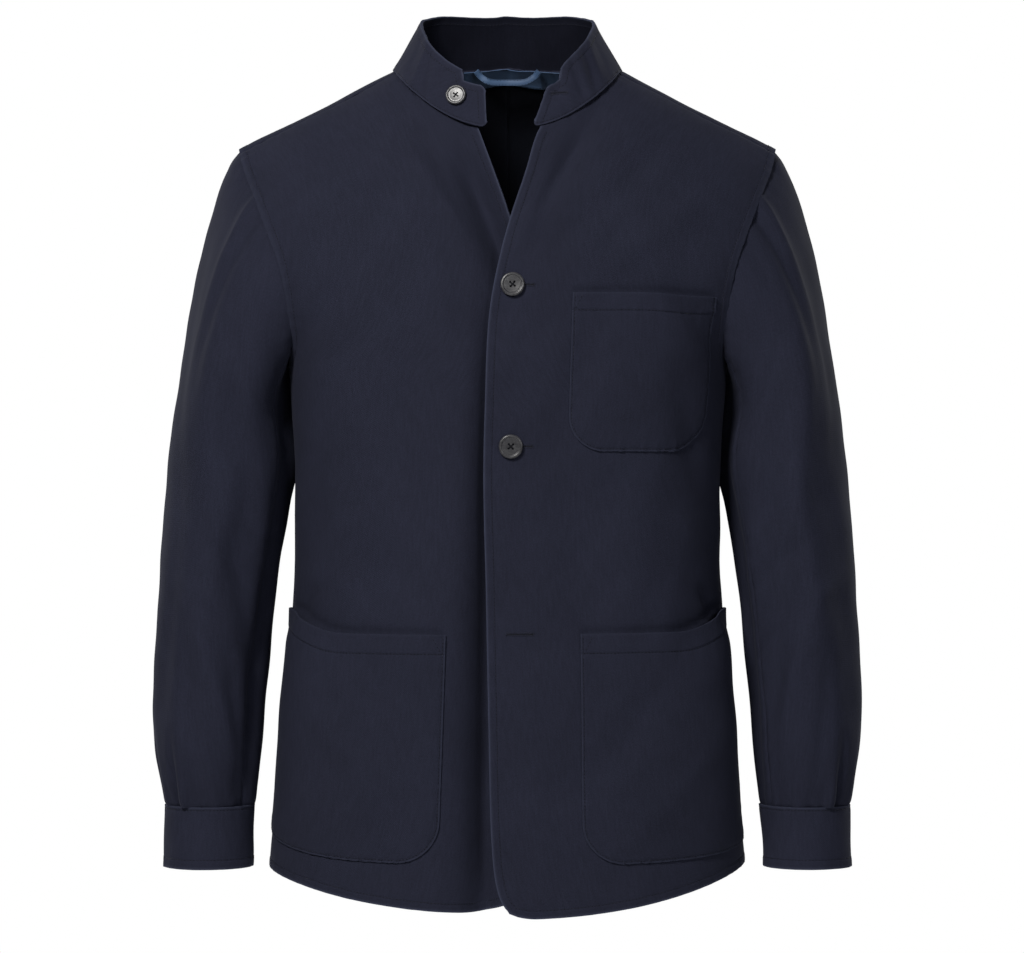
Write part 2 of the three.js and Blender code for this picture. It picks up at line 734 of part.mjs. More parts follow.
function turned(columns) {
  return columns[0].map((_, row) => columns.map((column) => column[row]));
}

function addSleeves() {
  const upperCells = shareList(frontSeamCell + backSeamCell, -backSeamCell, frontSeamCell);
  const underEnd = 2 * armholeCells - backSeamCell;
  const underCells = shareList(underEnd - frontSeamCell, frontSeamCell, underEnd);
  const wrapped = (cell) => (cell > armholeCells ? cell - 2 * armholeCells : cell);
  for (const [name, side] of [['left', 1], ['right', -1]]) {
    for (const [part, cells] of [['upper', upperCells], ['under', underCells]]) {
      const grid = mirrored(turned(cells.map((cell) => sleeveColumn(wrapped(cell)))), side);
      const seams = { first: sleeveSeamHalf, last: sleeveSeamHalf };
      addPiece(`sleeve_${name}_${part}`, clothWall(grid, wall.sleeve, seams), colours.cloth);
    }
  }
}

// The cuff is one band whose ends lap behind the arm, where its button closes it.
function cuffPoint(share, down) {
  const turn = (cuffLap.start + share * (360 + cuffLap.degrees)) * degree;
  const lap = cuffLap.degrees / (360 + cuffLap.degrees);
  const over = ease(1 - lap - cuffLap.ramp, 1 - lap, share);
  const under = 1 - ease(lap, lap + cuffLap.ramp, share);
  const lift = cuffLap.lift * (over - under);
  const half = mix(cuff.half, cuff.halfBottom, down) + lift;
  const depth = mix(cuff.depth, cuff.depthBottom, down) + lift;
  return new THREE.Vector3(
    mix(read(sleeveRings, 'fall', 'x', sleeveEnd), cuff.bottomX, down) + half * Math.cos(turn),
    mix(read(sleeveRings, 'fall', 'y', sleeveEnd), cuff.bottomY, down) - depth * Math.sin(turn),
    mix(cuff.top, cuff.bottom, down),
  );
}

function addCuffs() {
  const lap = cuffLap.degrees / (360 + cuffLap.degrees);
  const share = 1 - lap * cuffLap.buttonAt;
  const step = 0.005;
  const centre = cuffPoint(share, 0.5);
  const across = cuffPoint(share + step, 0.5).sub(cuffPoint(share - step, 0.5)).normalize();
  const out = new THREE.Vector3(0, 0, 1).cross(across).normalize();
  if (out.y < 0) out.negate();
  const grid = shareList(cuffRows).map((down) => shareList(cuffCells).map((at) => cuffPoint(at, down)));
  const base = wall.cuff / 2 + seamGap;
  const through = 2 * cuffLap.lift;
  for (const [name, side] of [['left', 1], ['right', -1]]) {
    const point = new THREE.Vector3(side * centre.x, centre.y, centre.z);
    const direction = new THREE.Vector3(side * out.x, out.y, out.z);
    const slit = new THREE.BoxGeometry(cuffHole.length, cuffHole.width, wall.cuff + slitOver);
    const band = cut(clothWall(mirrored(grid, side), wall.cuff), [placedAlong(slit, point, direction)]);
    addPiece(`cuff_${name}`, band, colours.cloth);
    addButton(`button_cuff_${name}`, cuffButton, point, direction, base, through);
  }
}

// Curve of the collar's lower edge along the neckline, with the end of each tab past its front.
const collarBase = new THREE.CatmullRomCurve3(
  shareList(neckSamples, collar.rightEnd, collar.leftEnd).map((turn) => {
    const place = neckPlace(Math.PI - Math.abs(turn) * degree);
    const angle = Math.sign(turn) * place.angle;
    return bodyPoint(angle, place.run).addScaledVector(bodyNormal(angle, place.run), collar.stand);
  }),
);
const collarSpan = collarBase.getLength();

function collarPoint(distance, level, lift = 0) {
  const share = clamp(distance / collarSpan, 0, 1);
  const base = collarBase.getPointAt(share);
  const turn = mix(collar.rightEnd, collar.leftEnd, share);
  const tangent = collarBase.getTangentAt(share).setZ(0).normalize();
  const inward = new THREE.Vector3(tangent.y, -tangent.x, 0);
  const lean = read(collarLean, 'turn', 'lean', turn) * degree;
  const tilt = read(collarLean, 'turn', 'tilt', turn);
  const fromEnd = Math.min(distance, collarSpan - distance);
  const { corner } = collar;
  const rounding = corner - Math.sqrt(corner ** 2 - (corner - Math.min(fromEnd, corner)) ** 2);
  const step = ease(collar.tabLength, collar.tabLength + collar.stepLength, fromEnd);
  const height = collar.height + read(collarLean, 'turn', 'higher', turn);
  const rise = mix(rounding, mix(collar.tabHeight, height, step) - rounding, level);
  const up = new THREE.Vector3(0, 0, Math.cos(lean)).addScaledVector(inward, Math.sin(lean));
  const out = new THREE.Vector3(0, 0, Math.sin(lean)).addScaledVector(inward, -Math.cos(lean));
  return base.addScaledVector(up, rise).addScaledVector(tangent, tilt * rise).addScaledVector(out, lift);
}

// Distance along the collar at which its middle line has a given x, before the neck.
function collarDistance(x) {
  let [low, high] = x > 0 ? [collarSpan * 0.75, collarSpan] : [0, collarSpan * 0.25];
  for (let pass = 0; pass < 30; pass += 1) {
    const middle = (low + high) / 2;
    if (collarPoint(middle, 0.5).x > x) low = middle;
    else high = middle;
  }
  return low;
}

function collarFrame(x, level) {
  const distance = collarDistance(x);
  const point = collarPoint(distance, level);
  const along = collarPoint(distance + 1, level).sub(collarPoint(distance - 1, level));
  const up = collarPoint(distance, level + 0.05).sub(point);
  const out = along.cross(up).normalize();
  if (out.y > 0) out.negate();
  return { point, out };
}

function addCollar() {
  const { corner, tabLength, stepLength } = collar;
  const tab = [0, ...cornerRows.toReversed().map((share) => share * corner), corner];
  tab.push(0.6 * tabLength, tabLength, tabLength + stepLength);
  const otherTab = tab.map((distance) => collarSpan - distance).reverse();
  const middle = shareList(collar.cells, tab.at(-1), otherTab[0]).slice(1, -1);
  const distances = [...tab, ...middle, ...otherTab];
  const grid = shareList(collar.rows)
    .map((level) => distances.map((distance) => collarPoint(distance, level)));
  const hole = collarFrame(collarHole.x, collarHole.level);
  const slit = new THREE.BoxGeometry(collarHole.length, collarHole.width, wall.collar + 2 * slitOver);
  const cutters = [placedAlong(slit, hole.point, hole.out)];
  addPiece('collar_stand', cut(clothWall(grid, wall.collar), cutters), colours.cloth);
  const place = collarFrame(collarButtonPlace.x, collarButtonPlace.level);
  addButton('button_collar', collarButton, place.point, place.out, wall.collar / 2 + seamGap, 0);
}

// A patch pocket is made from the front's own points, moved out, with its mouth standing open a little.
function pocketPlace(pocket, across, down) {
  const reach = Math.abs(pocket.foot - pocket.mouth);
  const arc = clamp((down * reach - (reach - pocket.corner)) / pocket.corner, 0, 1);
  const drawIn = pocket.corner * (1 - Math.sqrt(1 - arc ** 2));
  const mouth = mix(pocket.mouth, pocket.mouthSide, ease(pocketShape.riseFrom, pocketShape.riseTo, across));
  const foot = mix(pocket.foot, pocket.footSide, across ** pocketShape.footPower);
  const z = mix(mouth, foot, down);
  const start = bodyPlace(mix(pocket.inner, pocket.innerFoot, down) + drawIn, z, 1);
  const endAngle = pocket.outerAngle
    ? pocket.outerAngle * degree
    : bodyPlace(mix(pocket.outer, pocket.outerFoot, down) - drawIn, z, 1).angle;
  const angle = mix(start.angle, endAngle, across);
  const half = read(bodySections, 'drop', 'half', dropOfRun(start.run));
  const { run } = bodyPlace(half * Math.sin(angle), z, 1);
  return { angle: pocket.side * angle, run };
}

function pocketGrid(pocket) {
  const corner = pocket.corner / Math.abs(pocket.foot - pocket.mouth);
  const straight = shareList(pocketCells - cornerRows.length - 1, 0, 1 - corner);
  const downs = [...straight, ...cornerRows.map((share) => 1 - share * corner), 1];
  return downs.map((down) => shareList(pocketCells).map((across) => {
    const place = pocketPlace(pocket, across, down);
    const swell = across < pocket.bellyAt ? across / pocket.bellyAt : (1 - across) / (1 - pocket.bellyAt);
    const belly = pocket.belly * ease(0, 1, swell) * (1 - down ** pocketShape.gapePower);
    const lift = (wall.body + wall.pocket) / 2 + pocketStandOff + belly;
    return clothPoint(pocket.side > 0 ? 'left' : 'right', place, lift);
  }));
}

// Inner facing of the back neck, and the hanger loop that hangs off it.
function addNeckInside() {
  const lift = -(wall.body + wall.facing) / 2 - 2 * seamGap;
  const topRows = (side) => backPlaces(side).slice(0, 2).map((row) => row.slice(0, backNeckCells - 1));
  const [right, left] = [topRows(-1), topRows(1)];
  const places = left.map((row, index) => [...right[index].slice(1).reverse(), ...row]);
  const grid = places.map((row) => row.map((place) => clothPoint('back', place, lift)));
  addPiece('neck_facing', clothWall(grid, wall.facing), colours.facing);
  const otherHalf = loopBends.map((bend) => ({ ...bend, x: -bend.x }));
  const bends = [...otherHalf, loopMiddle, ...loopBends.toReversed()];
  const behind = wall.body / 2 + seamGap + wall.facing;
  const centres = bends.map((bend) => {
    const place = bodyPlace(bend.x, bend.z, -1);
    const seat = clothPoint('back', place, -(behind + loop.seat));
    return seat.setZ(bend.z).add(new THREE.Vector3(0, -loop.forward - bend.off * loop.standOff, 0));
  });
  const path = new THREE.CatmullRomCurve3(centres, false, 'centripetal');
  const forward = new THREE.Vector3(0, -1, 0);
  const rows = shareList(loopCells).map((share) => {
    const across = path.getTangentAt(share).cross(forward).normalize();
    return [-0.5, 0.5].map((half) => path.getPointAt(share).addScaledVector(across, half * loop.width));
  });
  addPiece('hanger_loop', clothWall(rows, wall.loop), colours.facing);
}

// A four-hole button with a raised rim and a thread shank, its face looking along the direction.
// "base" is how far its underside's seat lies off the point, and "through" how deep the shank goes on.
function addButton(name, size, point, direction, base, through) {
  const { radius, thick } = size;
  const shank = seamGap + through;
  const profile = [
    new THREE.Vector2(0, -shank),
    new THREE.Vector2(threadRadius, -shank),
    new THREE.Vector2(threadRadius, 0),
    ...buttonProfile.map((bend) => new THREE.Vector2(bend.across * radius, bend.up * thick)),
  ];
  const body = new THREE.LatheGeometry(profile, buttonFacets);
  body.rotateX(Math.PI / 2);
  const reach = buttonEye.reach * radius;
  const eye = buttonEye.radius * radius;
  const holes = [];
  for (const quarter of [0, 1, 2, 3]) {
    const turn = (quarter + 0.5) * (Math.PI / 2);
    const hole = new THREE.CylinderGeometry(eye, eye, 4 * thick, buttonEye.facets);
    hole.rotateX(Math.PI / 2);
    hole.translate(reach * Math.cos(turn), reach * Math.sin(turn), 0);
    holes.push(hole);
  }
  const seated = point.clone().addScaledVector(direction, base + seamGap);
  addPiece(name, placedAlong(cut(body, holes), seated, direction), colours.horn);
}

function frontFrame(piece, x, z) {
  const place = bodyPlace(x, z, 1);
  return { point: clothPoint(piece, place), out: bodyNormal(place.angle, place.run) };
}

function buttonholeCutter(button) {
  const middle = (buttonhole.from + buttonhole.to) / 2;
  const { point, out } = frontFrame('left', middle, button.z);
  const length = buttonhole.to - buttonhole.from;
  const slit = new THREE.BoxGeometry(length, buttonhole.width, wall.body + 2 * slitOver);
  return placedAlong(slit, point, out);
}

function addFrontButtons() {
  for (const button of frontButtons) {
    const lower = frontFrame('right', button.x, button.z);
    const upper = frontFrame('left', button.x, button.z);
    const carrier = button.fastened ? upper : lower;
    const through = button.fastened ? upper.point.distanceTo(lower.point) - 2 * seamGap : 0;
    addButton(button.name, frontButton, carrier.point, lower.out, wall.body / 2 + seamGap, through);
  }
}

addBody();
addSleeves();
addCuffs();
addCollar();
for (const [name, pocket] of Object.entries(pockets)) {
  addPiece(name, clothWall(pocketGrid(pocket), wall.pocket), colours.cloth);
}
addNeckInside();
addFrontButtons();

export default group;
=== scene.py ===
import math
import random

import bmesh
import bpy
import numpy as np
from mathutils import Matrix, Vector


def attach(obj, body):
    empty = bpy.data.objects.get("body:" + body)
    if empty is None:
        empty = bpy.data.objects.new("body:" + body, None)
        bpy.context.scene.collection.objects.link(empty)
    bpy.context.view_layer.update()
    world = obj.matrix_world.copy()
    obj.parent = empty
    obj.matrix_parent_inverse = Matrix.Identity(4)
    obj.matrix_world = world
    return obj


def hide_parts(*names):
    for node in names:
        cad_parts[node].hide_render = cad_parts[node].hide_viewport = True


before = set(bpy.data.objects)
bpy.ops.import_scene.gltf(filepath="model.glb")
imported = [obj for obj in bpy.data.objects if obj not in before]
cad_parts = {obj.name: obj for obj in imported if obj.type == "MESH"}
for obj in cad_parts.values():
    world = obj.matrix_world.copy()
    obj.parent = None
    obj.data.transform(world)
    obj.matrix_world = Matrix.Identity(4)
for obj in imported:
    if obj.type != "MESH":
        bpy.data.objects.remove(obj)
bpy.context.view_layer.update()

# Working lengths are millimetres; a piece becomes metres when its mesh is made.
metre = 0.001
degree = math.pi / 180
thickness = {
    "body": 1.6, "sleeve": 1.4, "collar": 2.4, "cuff": 2.2, "pocket": 1.4, "facing": 0.8, "loop": 1.2,
}

# Form of the worn jacket, the same tables as the solids

shoulderLine = {
    "x": [0, 60, 95, 130, 180, 212, 230, 250],
    "z": [24, 13.5, 0, -18.5, -43.5, -58.5, -68.5, -80],
}
bodySections = {
    "drop": [0, 80, 130, 165, 200, 229, 258, 300, 340, 420, 461, 512, 577, 617, 648, 680, 730],
    "half": [240, 240, 236, 226, 210, 197, 188.5, 184, 182, 181.5, 183.5, 189.5, 194.5, 197, 200, 202.5, 204],
    "front": [118, 119, 120, 121, 122, 122, 122, 121, 120, 120, 122, 126, 131, 134, 136, 137, 139],
    "back": [116, 118, 120, 120, 119, 118, 117, 113, 110, 107, 108, 112, 118, 122, 125, 127, 129],
}
bodyShape = {
    "girthPower": 2.5, "frontCrown": 260, "backCrown": 118, "ridgeSoftness": 60, "armpitDrop": 258,
    "neckHalf": 95, "neckRunFront": 122, "neckRunBack": 44, "shoulderSeamRun": 25,
}
armholeFront = {
    "share": [0, 0.25, 0.5, 0.75, 1, 1.25],
    "angle": [73.4, 61.8, 56.5, 68.5, 90, 111.5],
    "drop": [0, 72, 156, 229, 258, 229],
}
armholeBack = {
    "share": [0, 0.25, 0.5, 0.75, 1, 1.25],
    "angle": [73.4, 66, 63.5, 74.5, 90, 105.5],
    "drop": [0, 70, 150, 228, 258, 228],
}
frontEdges = {
    "left": [
        (28.5, -52), (22.9, -67.5), (15.4, -94), (2.9, -132.8), (-7.9, -174), (-15, -215), (-18.5, -290),
        (-19.7, -352), (-17.7, -442), (-15.2, -567), (-13.5, -638), (-10.3, -678), (-5.5, -697), (2, -708),
    ],
    "right": [
        (-24.6, -53.5), (-10.6, -94), (2.9, -132.8), (12.5, -162), (19, -200), (22, -260), (22, -400),
        (22, -560), (22, -650), (18.5, -678), (9, -697),
    ],
}
hemPower = 2.2
hems = {
    "left": {"low": -712.6, "side": -677, "cornerRise": 4.6, "cornerShare": 0.07},
    "right": {"low": -708.5, "side": -681, "cornerRise": 11.5, "cornerShare": 0.14},
    "backLeft": {"low": -709, "side": -677, "cornerRise": 0, "cornerShare": 1},
    "backRight": {"low": -709, "side": -681, "cornerRise": 0, "cornerShare": 1},
}
lap = {"lift": 1.3, "start": 30, "end": 72}
fallBack = {"top": -350, "bottom": -640, "depth": 9, "edge": -18, "reachTop": 22, "reachBottom": 52}

# Folds: x, z, length, half width, depth (below zero sinks in), lean from upright in degrees.
frontFolds = [
    (-45, -98, 140, 15, -4.5, 31),
    (56, -70, 110, 13, -3.5, -35),
    (-70, -175, 120, 16, 2, 24),
    (78, -130, 100, 14, 1.6, -28),
    (-165, -225, 90, 13, -3, -38),
    (166, -225, 90, 13, -3, 38),
    (-120, -330, 170, 24, 2.2, 14),
    (112, -395, 180, 24, 2.4, -10),
    (-171, -462, 46, 6, -3.2, -24),
    (172, -462, 46, 6, -3.2, 24),
]
backFolds = [
    (-172, -215, 110, 14, -3.5, -30),
    (172, -218, 105, 14, -3.5, 30),
    (-96, -360, 260, 26, 3, -7),
    (88, -380, 240, 24, 3, 8),
    (20, -420, 220, 24, -2.4, 3),
]


def ease(low, high, value):
    share = np.clip((value - low) / (high - low), 0, 1)
    return share * share * (3 - 2 * share)


def mix(start, end, share):
    return start + (end - start) * share


# Smooth value of a table's column where its key column reads "at".
def reading(table, key, column, at):
    keys = np.array(table[key], float)
    values = np.array(table[column], float)
    slopes = np.empty_like(values)
    slopes[1:-1] = (values[2:] - values[:-2]) / (keys[2:] - keys[:-2])
    slopes[0] = (values[1] - values[0]) / (keys[1] - keys[0])
    slopes[-1] = (values[-1] - values[-2]) / (keys[-1] - keys[-2])
    at = np.clip(at, keys[0], keys[-1])
    index = np.clip(np.searchsorted(keys, at, side="right") - 1, 0, len(keys) - 2)
    span = keys[index + 1] - keys[index]
    share = (at - keys[index]) / span
    square = share * share
    cube = square * share
    return (
        (2 * cube - 3 * square + 1) * values[index]
        + (cube - 2 * square + share) * span * slopes[index]
        + (3 * square - 2 * cube) * values[index + 1]
        + (cube - square) * span * slopes[index + 1]
    )


def unit(vectors):
    size = np.linalg.norm(vectors, axis=-1, keepdims=True)
    return vectors / np.maximum(size, 1e-9)


def dropOfRun(run):
    soft = bodyShape["ridgeSoftness"]
    return np.hypot(run, soft) - soft


def runOfDrop(drop, side):
    drop = np.maximum(drop, 0)
    return side * np.sqrt(drop * (drop + 2 * bodyShape["ridgeSoftness"]))


def heightOf(x, drop):
    ridge = reading(shoulderLine, "x", "z", np.abs(x))
    return ridge * (1 - ease(0, bodyShape["armpitDrop"], drop)) - drop


# Point of the body's surface: angle from the middle to the side seam, run down from the shoulder ridge.
def bodyPoint(angle, run):
    angle, run = np.broadcast_arrays(np.asarray(angle, float), np.asarray(run, float))
    drop = dropOfRun(run)
    isFront = run >= 0
    half = reading(bodySections, "drop", "half", drop)
    depth = np.where(
        isFront,
        reading(bodySections, "drop", "front", drop),
        reading(bodySections, "drop", "back", drop),
    )
    crown = np.where(isFront, bodyShape["frontCrown"], bodyShape["backCrown"])
    arch = np.sqrt(np.maximum(1 - (1 - np.minimum(drop / crown, 1)) ** 2, 0))
    sine = np.sin(angle)
    power = bodyShape["girthPower"]
    rounded = np.maximum(1 - np.abs(sine) ** power, 0) ** (1 / power) * np.sign(np.cos(angle))
    x = half * sine
    y = np.where(isFront, -1, 1) * depth * arch * rounded
    return np.stack([x, y, heightOf(x, drop)], -1)


def bodyNormal(angle, run):
    step = 1e-3
    across = bodyPoint(angle + step, run) - bodyPoint(angle - step, run)
    along = bodyPoint(angle, run + 0.5) - bodyPoint(angle, run - 0.5)
    return unit(np.cross(along, across))


def bodyPlace(x, z, side):
    x, z = np.broadcast_arrays(np.asarray(x, float), np.asarray(z, float))
    drop = -z
    for _ in range(16):
        drop = np.maximum(heightOf(x, drop) + drop - z, 0)
    half = reading(bodySections, "drop", "half", drop)
    return np.arcsin(np.clip(x / half, -1, 1)), runOfDrop(drop, side)


def foldLift(folds, x, z):
    lift = np.zeros_like(x)
    for foldX, foldZ, length, width, depth, lean in folds:
        sine, cosine = math.sin(lean * degree), math.cos(lean * degree)
        along = (x - foldX) * sine - (z - foldZ) * cosine
        across = (x - foldX) * cosine + (z - foldZ) * sine
        lift = lift + depth * np.exp(-((across / width) ** 2) - (2 * along / length) ** 4)
    return lift


def lapOf(x, z, onTop):
    if onTop:
        return lap["lift"] * (1 - ease(lap["start"], lap["end"], x))
    down = ease(fallBack["top"], fallBack["bottom"], z)
    reach = mix(fallBack["reachTop"], fallBack["reachBottom"], down)
    back = fallBack["depth"] * down * ease(fallBack["edge"] - reach, fallBack["edge"], x)
    return -lap["lift"] * ease(-lap["end"], -lap["start"], x) - back


# Smaller creases that only the cloth shows, in the same columns as the folds.
frontCreases = [
    (-58, -112, 90, 8, 2.81, 33),
    (44, -96, 80, 8, -3.28, -33),
    (24, -120, 90, 8, 2.57, -24),
    (92, -110, 120, 11, -2.11, -46),
    (118, -150, 110, 12, 1.87, -52),
    (-100, -140, 120, 12, -2.11, 44),
    (-88, -250, 190, 17, -2.11, 20),
    (60, -260, 180, 15, -2.11, -16),
    (-150, -300, 120, 12, -2.57, -16),
    (152, -318, 120, 12, -2.34, 14),
    (-132, -420, 170, 15, 2.11, 10),
    (60, -440, 190, 18, -2.11, 8),
    (-60, -420, 210, 18, 1.87, -8),
    (138, -440, 150, 14, 2.11, -14),
    (-100, -600, 150, 16, -2.11, 34),
    (-128, -580, 120, 12, 1.87, 38),
    (96, -560, 140, 16, -2.34, -36),
    (130, -620, 110, 12, 1.87, -40),
    (-12, -680, 90, 14, -1.87, 6),
    (24, -610, 170, 15, 1.64, 3),
]
backCreases = [
    (-60, -120, 150, 16, -1.4, 28),
    (66, -118, 140, 15, -1.5, -30),
    (-120, -160, 120, 12, 1.0, 38),
    (124, -150, 130, 12, 1.1, -36),
    (-40, -300, 200, 17, -1.0, 9),
    (46, -320, 210, 18, -0.9, -8),
    (-150, -330, 120, 12, -1.2, 18),
    (150, -340, 130, 12, -1.1, -20),
    (-70, -560, 230, 22, 1.5, -5),
    (84, -580, 210, 20, 1.4, 6),
    (-140, -560, 180, 15, -1.2, 8),
    (146, -550, 190, 16, -1.1, -9),
    (12, -610, 170, 17, 1.0, -2),
]
# Deep troughs of the right front, beside the neck opening and along the lap.
rightCreases = [
    (-12, -142, 136, 13, -15, 20),
    (-16.5, -500, 580, 13, -17, -1),
    (-50, -540, 460, 12, 1.6, -2),
    (-36, -118, 100, 7, 1.2, 28),
]


def clothPoint(piece, angle, run, lift=0.0, creased=True):
    angle, run = np.broadcast_arrays(np.asarray(angle, float), np.asarray(run, float))
    point = bodyPoint(angle, run)
    normal = bodyNormal(angle, run)
    x, z = point[..., 0], point[..., 2]
    isFront = run >= 0
    fade = np.where(isFront, ease(0, 2 * bodyShape["shoulderSeamRun"], run), 1)
    front = foldLift(frontFolds, x, z)
    back = foldLift(backFolds, x, z)
    if creased:
        front = front + foldLift(frontCreases, x, z)
        if piece == "right":
            front = front + foldLift(rightCreases, x, z)
        back = back + foldLift(backCreases, x, z)
    off = lift + fade * np.where(isFront, front, back)
    if piece != "back":
        off = off + lapOf(x, z, piece == "left")
    return point + normal * off[..., None], normal


# Lines

# Centripetal curve through the points, as a dense line.
def smoothLine(points, steps=24):
    points = np.array(points, float)
    whole = np.vstack([2 * points[0] - points[1], points, 2 * points[-1] - points[-2]])
    out = []
    share = np.linspace(0, 1, steps, endpoint=False)[:, None]
    for index in range(len(points) - 1):
        before, start, end, after = whole[index:index + 4]
        pairs = ((before, start), (start, end), (end, after))
        gaps = [max(np.linalg.norm(b - a), 1e-6) ** 0.5 for a, b in pairs]
        out1 = (start - before) / gaps[0] - (end - before) / (gaps[0] + gaps[1]) + (end - start) / gaps[1]
        out2 = (end - start) / gaps[1] - (after - start) / (gaps[1] + gaps[2]) + (after - end) / gaps[2]
        out1, out2 = out1 * gaps[1], out2 * gaps[1]
        c2 = -3 * start + 3 * end - 2 * out1 - out2
        c3 = 2 * start - 2 * end + out1 + out2
        out.append(start + out1 * share + c2 * share ** 2 + c3 * share ** 3)
    return np.vstack(out + [points[-1:]])


def lengthsAlong(line):
    return np.concatenate([[0], np.cumsum(np.linalg.norm(np.diff(line, axis=0), axis=1))])


def lineAt(line, share):
    along = lengthsAlong(line)
    at = np.asarray(share, float) * along[-1]
    return np.stack([np.interp(at, along, line[:, axis]) for axis in range(line.shape[1])], -1)


# Panels of the body

armholeCells, sideCells = 10, 16
neckCells, shoulderCells, backNeckCells = 6, 8, 6
armholeShare = armholeCells / (armholeCells + sideCells)


def neckPlace(turn):
    cosine = np.cos(turn)
    run = np.where(cosine > 0, bodyShape["neckRunFront"], bodyShape["neckRunBack"]) * cosine
    half = reading(bodySections, "drop", "half", dropOfRun(run))
    return np.arcsin(bodyShape["neckHalf"] * np.sin(turn) / half), run


def armholePlace(share, side, isFront):
    share = np.asarray(share, float)
    isFront = np.broadcast_to(isFront, share.shape)
    angle = np.where(
        isFront, reading(armholeFront, "share", "angle", share), reading(armholeBack, "share", "angle", share)
    )
    drop = np.where(
        isFront, reading(armholeFront, "share", "drop", share), reading(armholeBack, "share", "drop", share)
    )
    return side * angle * degree, np.where(isFront, 1, -1) * runOfDrop(drop, 1)


def findTipShare():
    low, high = 0.0, 0.25
    for _ in range(30):
        middle = (low + high) / 2
        if armholePlace(middle, 1, True)[1] < bodyShape["shoulderSeamRun"]:
            low = middle
        else:
            high = middle
    return low


tipShare = findTipShare()
neckSeamTurn = math.acos(bodyShape["shoulderSeamRun"] / bodyShape["neckRunFront"])


def shoulderSeam(side, share):
    start = neckPlace(neckSeamTurn)[0]
    end = armholePlace(tipShare, 1, True)[0]
    return side * mix(start, end, share), np.full_like(share, bodyShape["shoulderSeamRun"])


def sideSeam(side, hemSide, share, isFront):
    start = runOfDrop(bodyShape["armpitDrop"], 1)
    end = runOfDrop(-hemSide, 1)
    return np.full_like(share, side * math.pi / 2), (1 if isFront else -1) * mix(start, end, share)


def hemPlace(level, isFront, angle, share):
    corner = level["cornerRise"] * np.maximum(0, 1 - share / level["cornerShare"]) ** 2
    z = mix(level["low"], level["side"], np.abs(np.sin(angle)) ** hemPower) + corner
    half = reading(bodySections, "drop", "half", -z)
    return angle, bodyPlace(half * np.sin(angle), z, 1 if isFront else -1)[1]


def pick(test, whenTrue, whenFalse):
    return np.where(test, whenTrue[0], whenFalse[0]), np.where(test, whenTrue[1], whenFalse[1])


# Patch between four edge curves; each curve gives angle and run for a share.
# The top edge's corners soften with the distance below it, so that no cell folds over.
def patch(edges, down, across):
    result = []
    soften = np.minimum(np.minimum(0.12, 6 * down), np.minimum(across, 1 - across))
    zero, one = np.zeros(1), np.ones(1)
    for part in (0, 1):
        topFirst, topLast = edges["top"](zero)[part][0], edges["top"](one)[part][0]
        footFirst, footLast = edges["foot"](zero)[part][0], edges["foot"](one)[part][0]
        top = sum(
            weight * edges["top"](across + shift * soften)[part]
            for shift, weight in ((-1, 0.1), (-0.5, 0.24), (0, 0.32), (0.5, 0.24), (1, 0.1))
        )
        result.append(
            (1 - down) * top + down * edges["foot"](across)[part]
            + (1 - across) * edges["first"](down)[part] + across * edges["last"](down)[part]
            - (1 - across) * ((1 - down) * topFirst + down * footFirst)
            - across * ((1 - down) * topLast + down * footLast)
        )
    return result


def frontPatch(side):
    name = "left" if side > 0 else "right"
    level = hems[name]
    rows = frontEdges[name]
    neckStart = math.asin(rows[0][0] / bodyShape["neckHalf"])
    corner = bodyPoint(*neckPlace(neckStart))
    line = smoothLine([(corner[0], corner[2])] + rows[1:])
    neckShare = neckCells / (neckCells + shoulderCells)

    def first(share):
        point = lineAt(line, share)
        return bodyPlace(point[..., 0], point[..., 1], 1)

    footStart = first(np.ones(1))[0][0]

    def top(share):
        turn = mix(neckStart, side * neckSeamTurn, share / neckShare)
        shoulder = shoulderSeam(side, (share - neckShare) / (1 - neckShare))
        return pick(share <= neckShare, neckPlace(turn), shoulder)

    def last(share):
        hole = armholePlace(mix(tipShare, 1, np.minimum(share / armholeShare, 1)), side, True)
        flank = sideSeam(side, level["side"], (share - armholeShare) / (1 - armholeShare), True)
        return pick(share <= armholeShare, hole, flank)

    def foot(share):
        return hemPlace(level, True, mix(footStart, side * math.pi / 2, share), share)

    return {"top": top, "foot": foot, "first": first, "last": last}


def backPatch(side):
    level = hems["backLeft" if side > 0 else "backRight"]
    neckShare = backNeckCells / (backNeckCells + shoulderCells)
    lowRun = hemPlace(level, False, np.zeros(1), np.ones(1))[1][0]

    def top(share):
        turn = side * mix(math.pi, neckSeamTurn, share / neckShare)
        shoulder = shoulderSeam(side, (share - neckShare) / (1 - neckShare))
        return pick(share <= neckShare, neckPlace(turn), shoulder)

    def foot(share):
        return hemPlace(level, False, side * share * math.pi / 2, share)

    def first(share):
        return np.zeros_like(share), mix(-bodyShape["neckRunBack"], lowRun, share)

    def last(share):
        at = mix(-tipShare, 1, np.minimum(share / armholeShare, 1))
        hole = armholePlace(np.abs(at), side, at < 0)
        flank = sideSeam(side, level["side"], (share - armholeShare) / (1 - armholeShare), False)
        return pick(share <= armholeShare, hole, flank)

    return {"top": top, "foot": foot, "first": first, "last": last}


# Grids: rows and columns stand closer along the edges, where hems and stitches are

edgeSteps = [0, 0.35, 0.9, 1.7, 2.8, 4.2, 5.4, 6.2, 6.9, 7.6, 8.4, 9.8, 12]


def sharesFor(lengths, starts, ends, count):
    lengths = np.atleast_1d(lengths)[:, None]
    near = np.array(starts)[None, :] / lengths
    far = 1 - np.array(ends)[::-1][None, :] / lengths
    between = np.linspace(0, 1, count + 2)[1:-1][None, :]
    middle = near[:, -1:] + (far[:, :1] - near[:, -1:]) * between
    return np.hstack([near, middle, far])


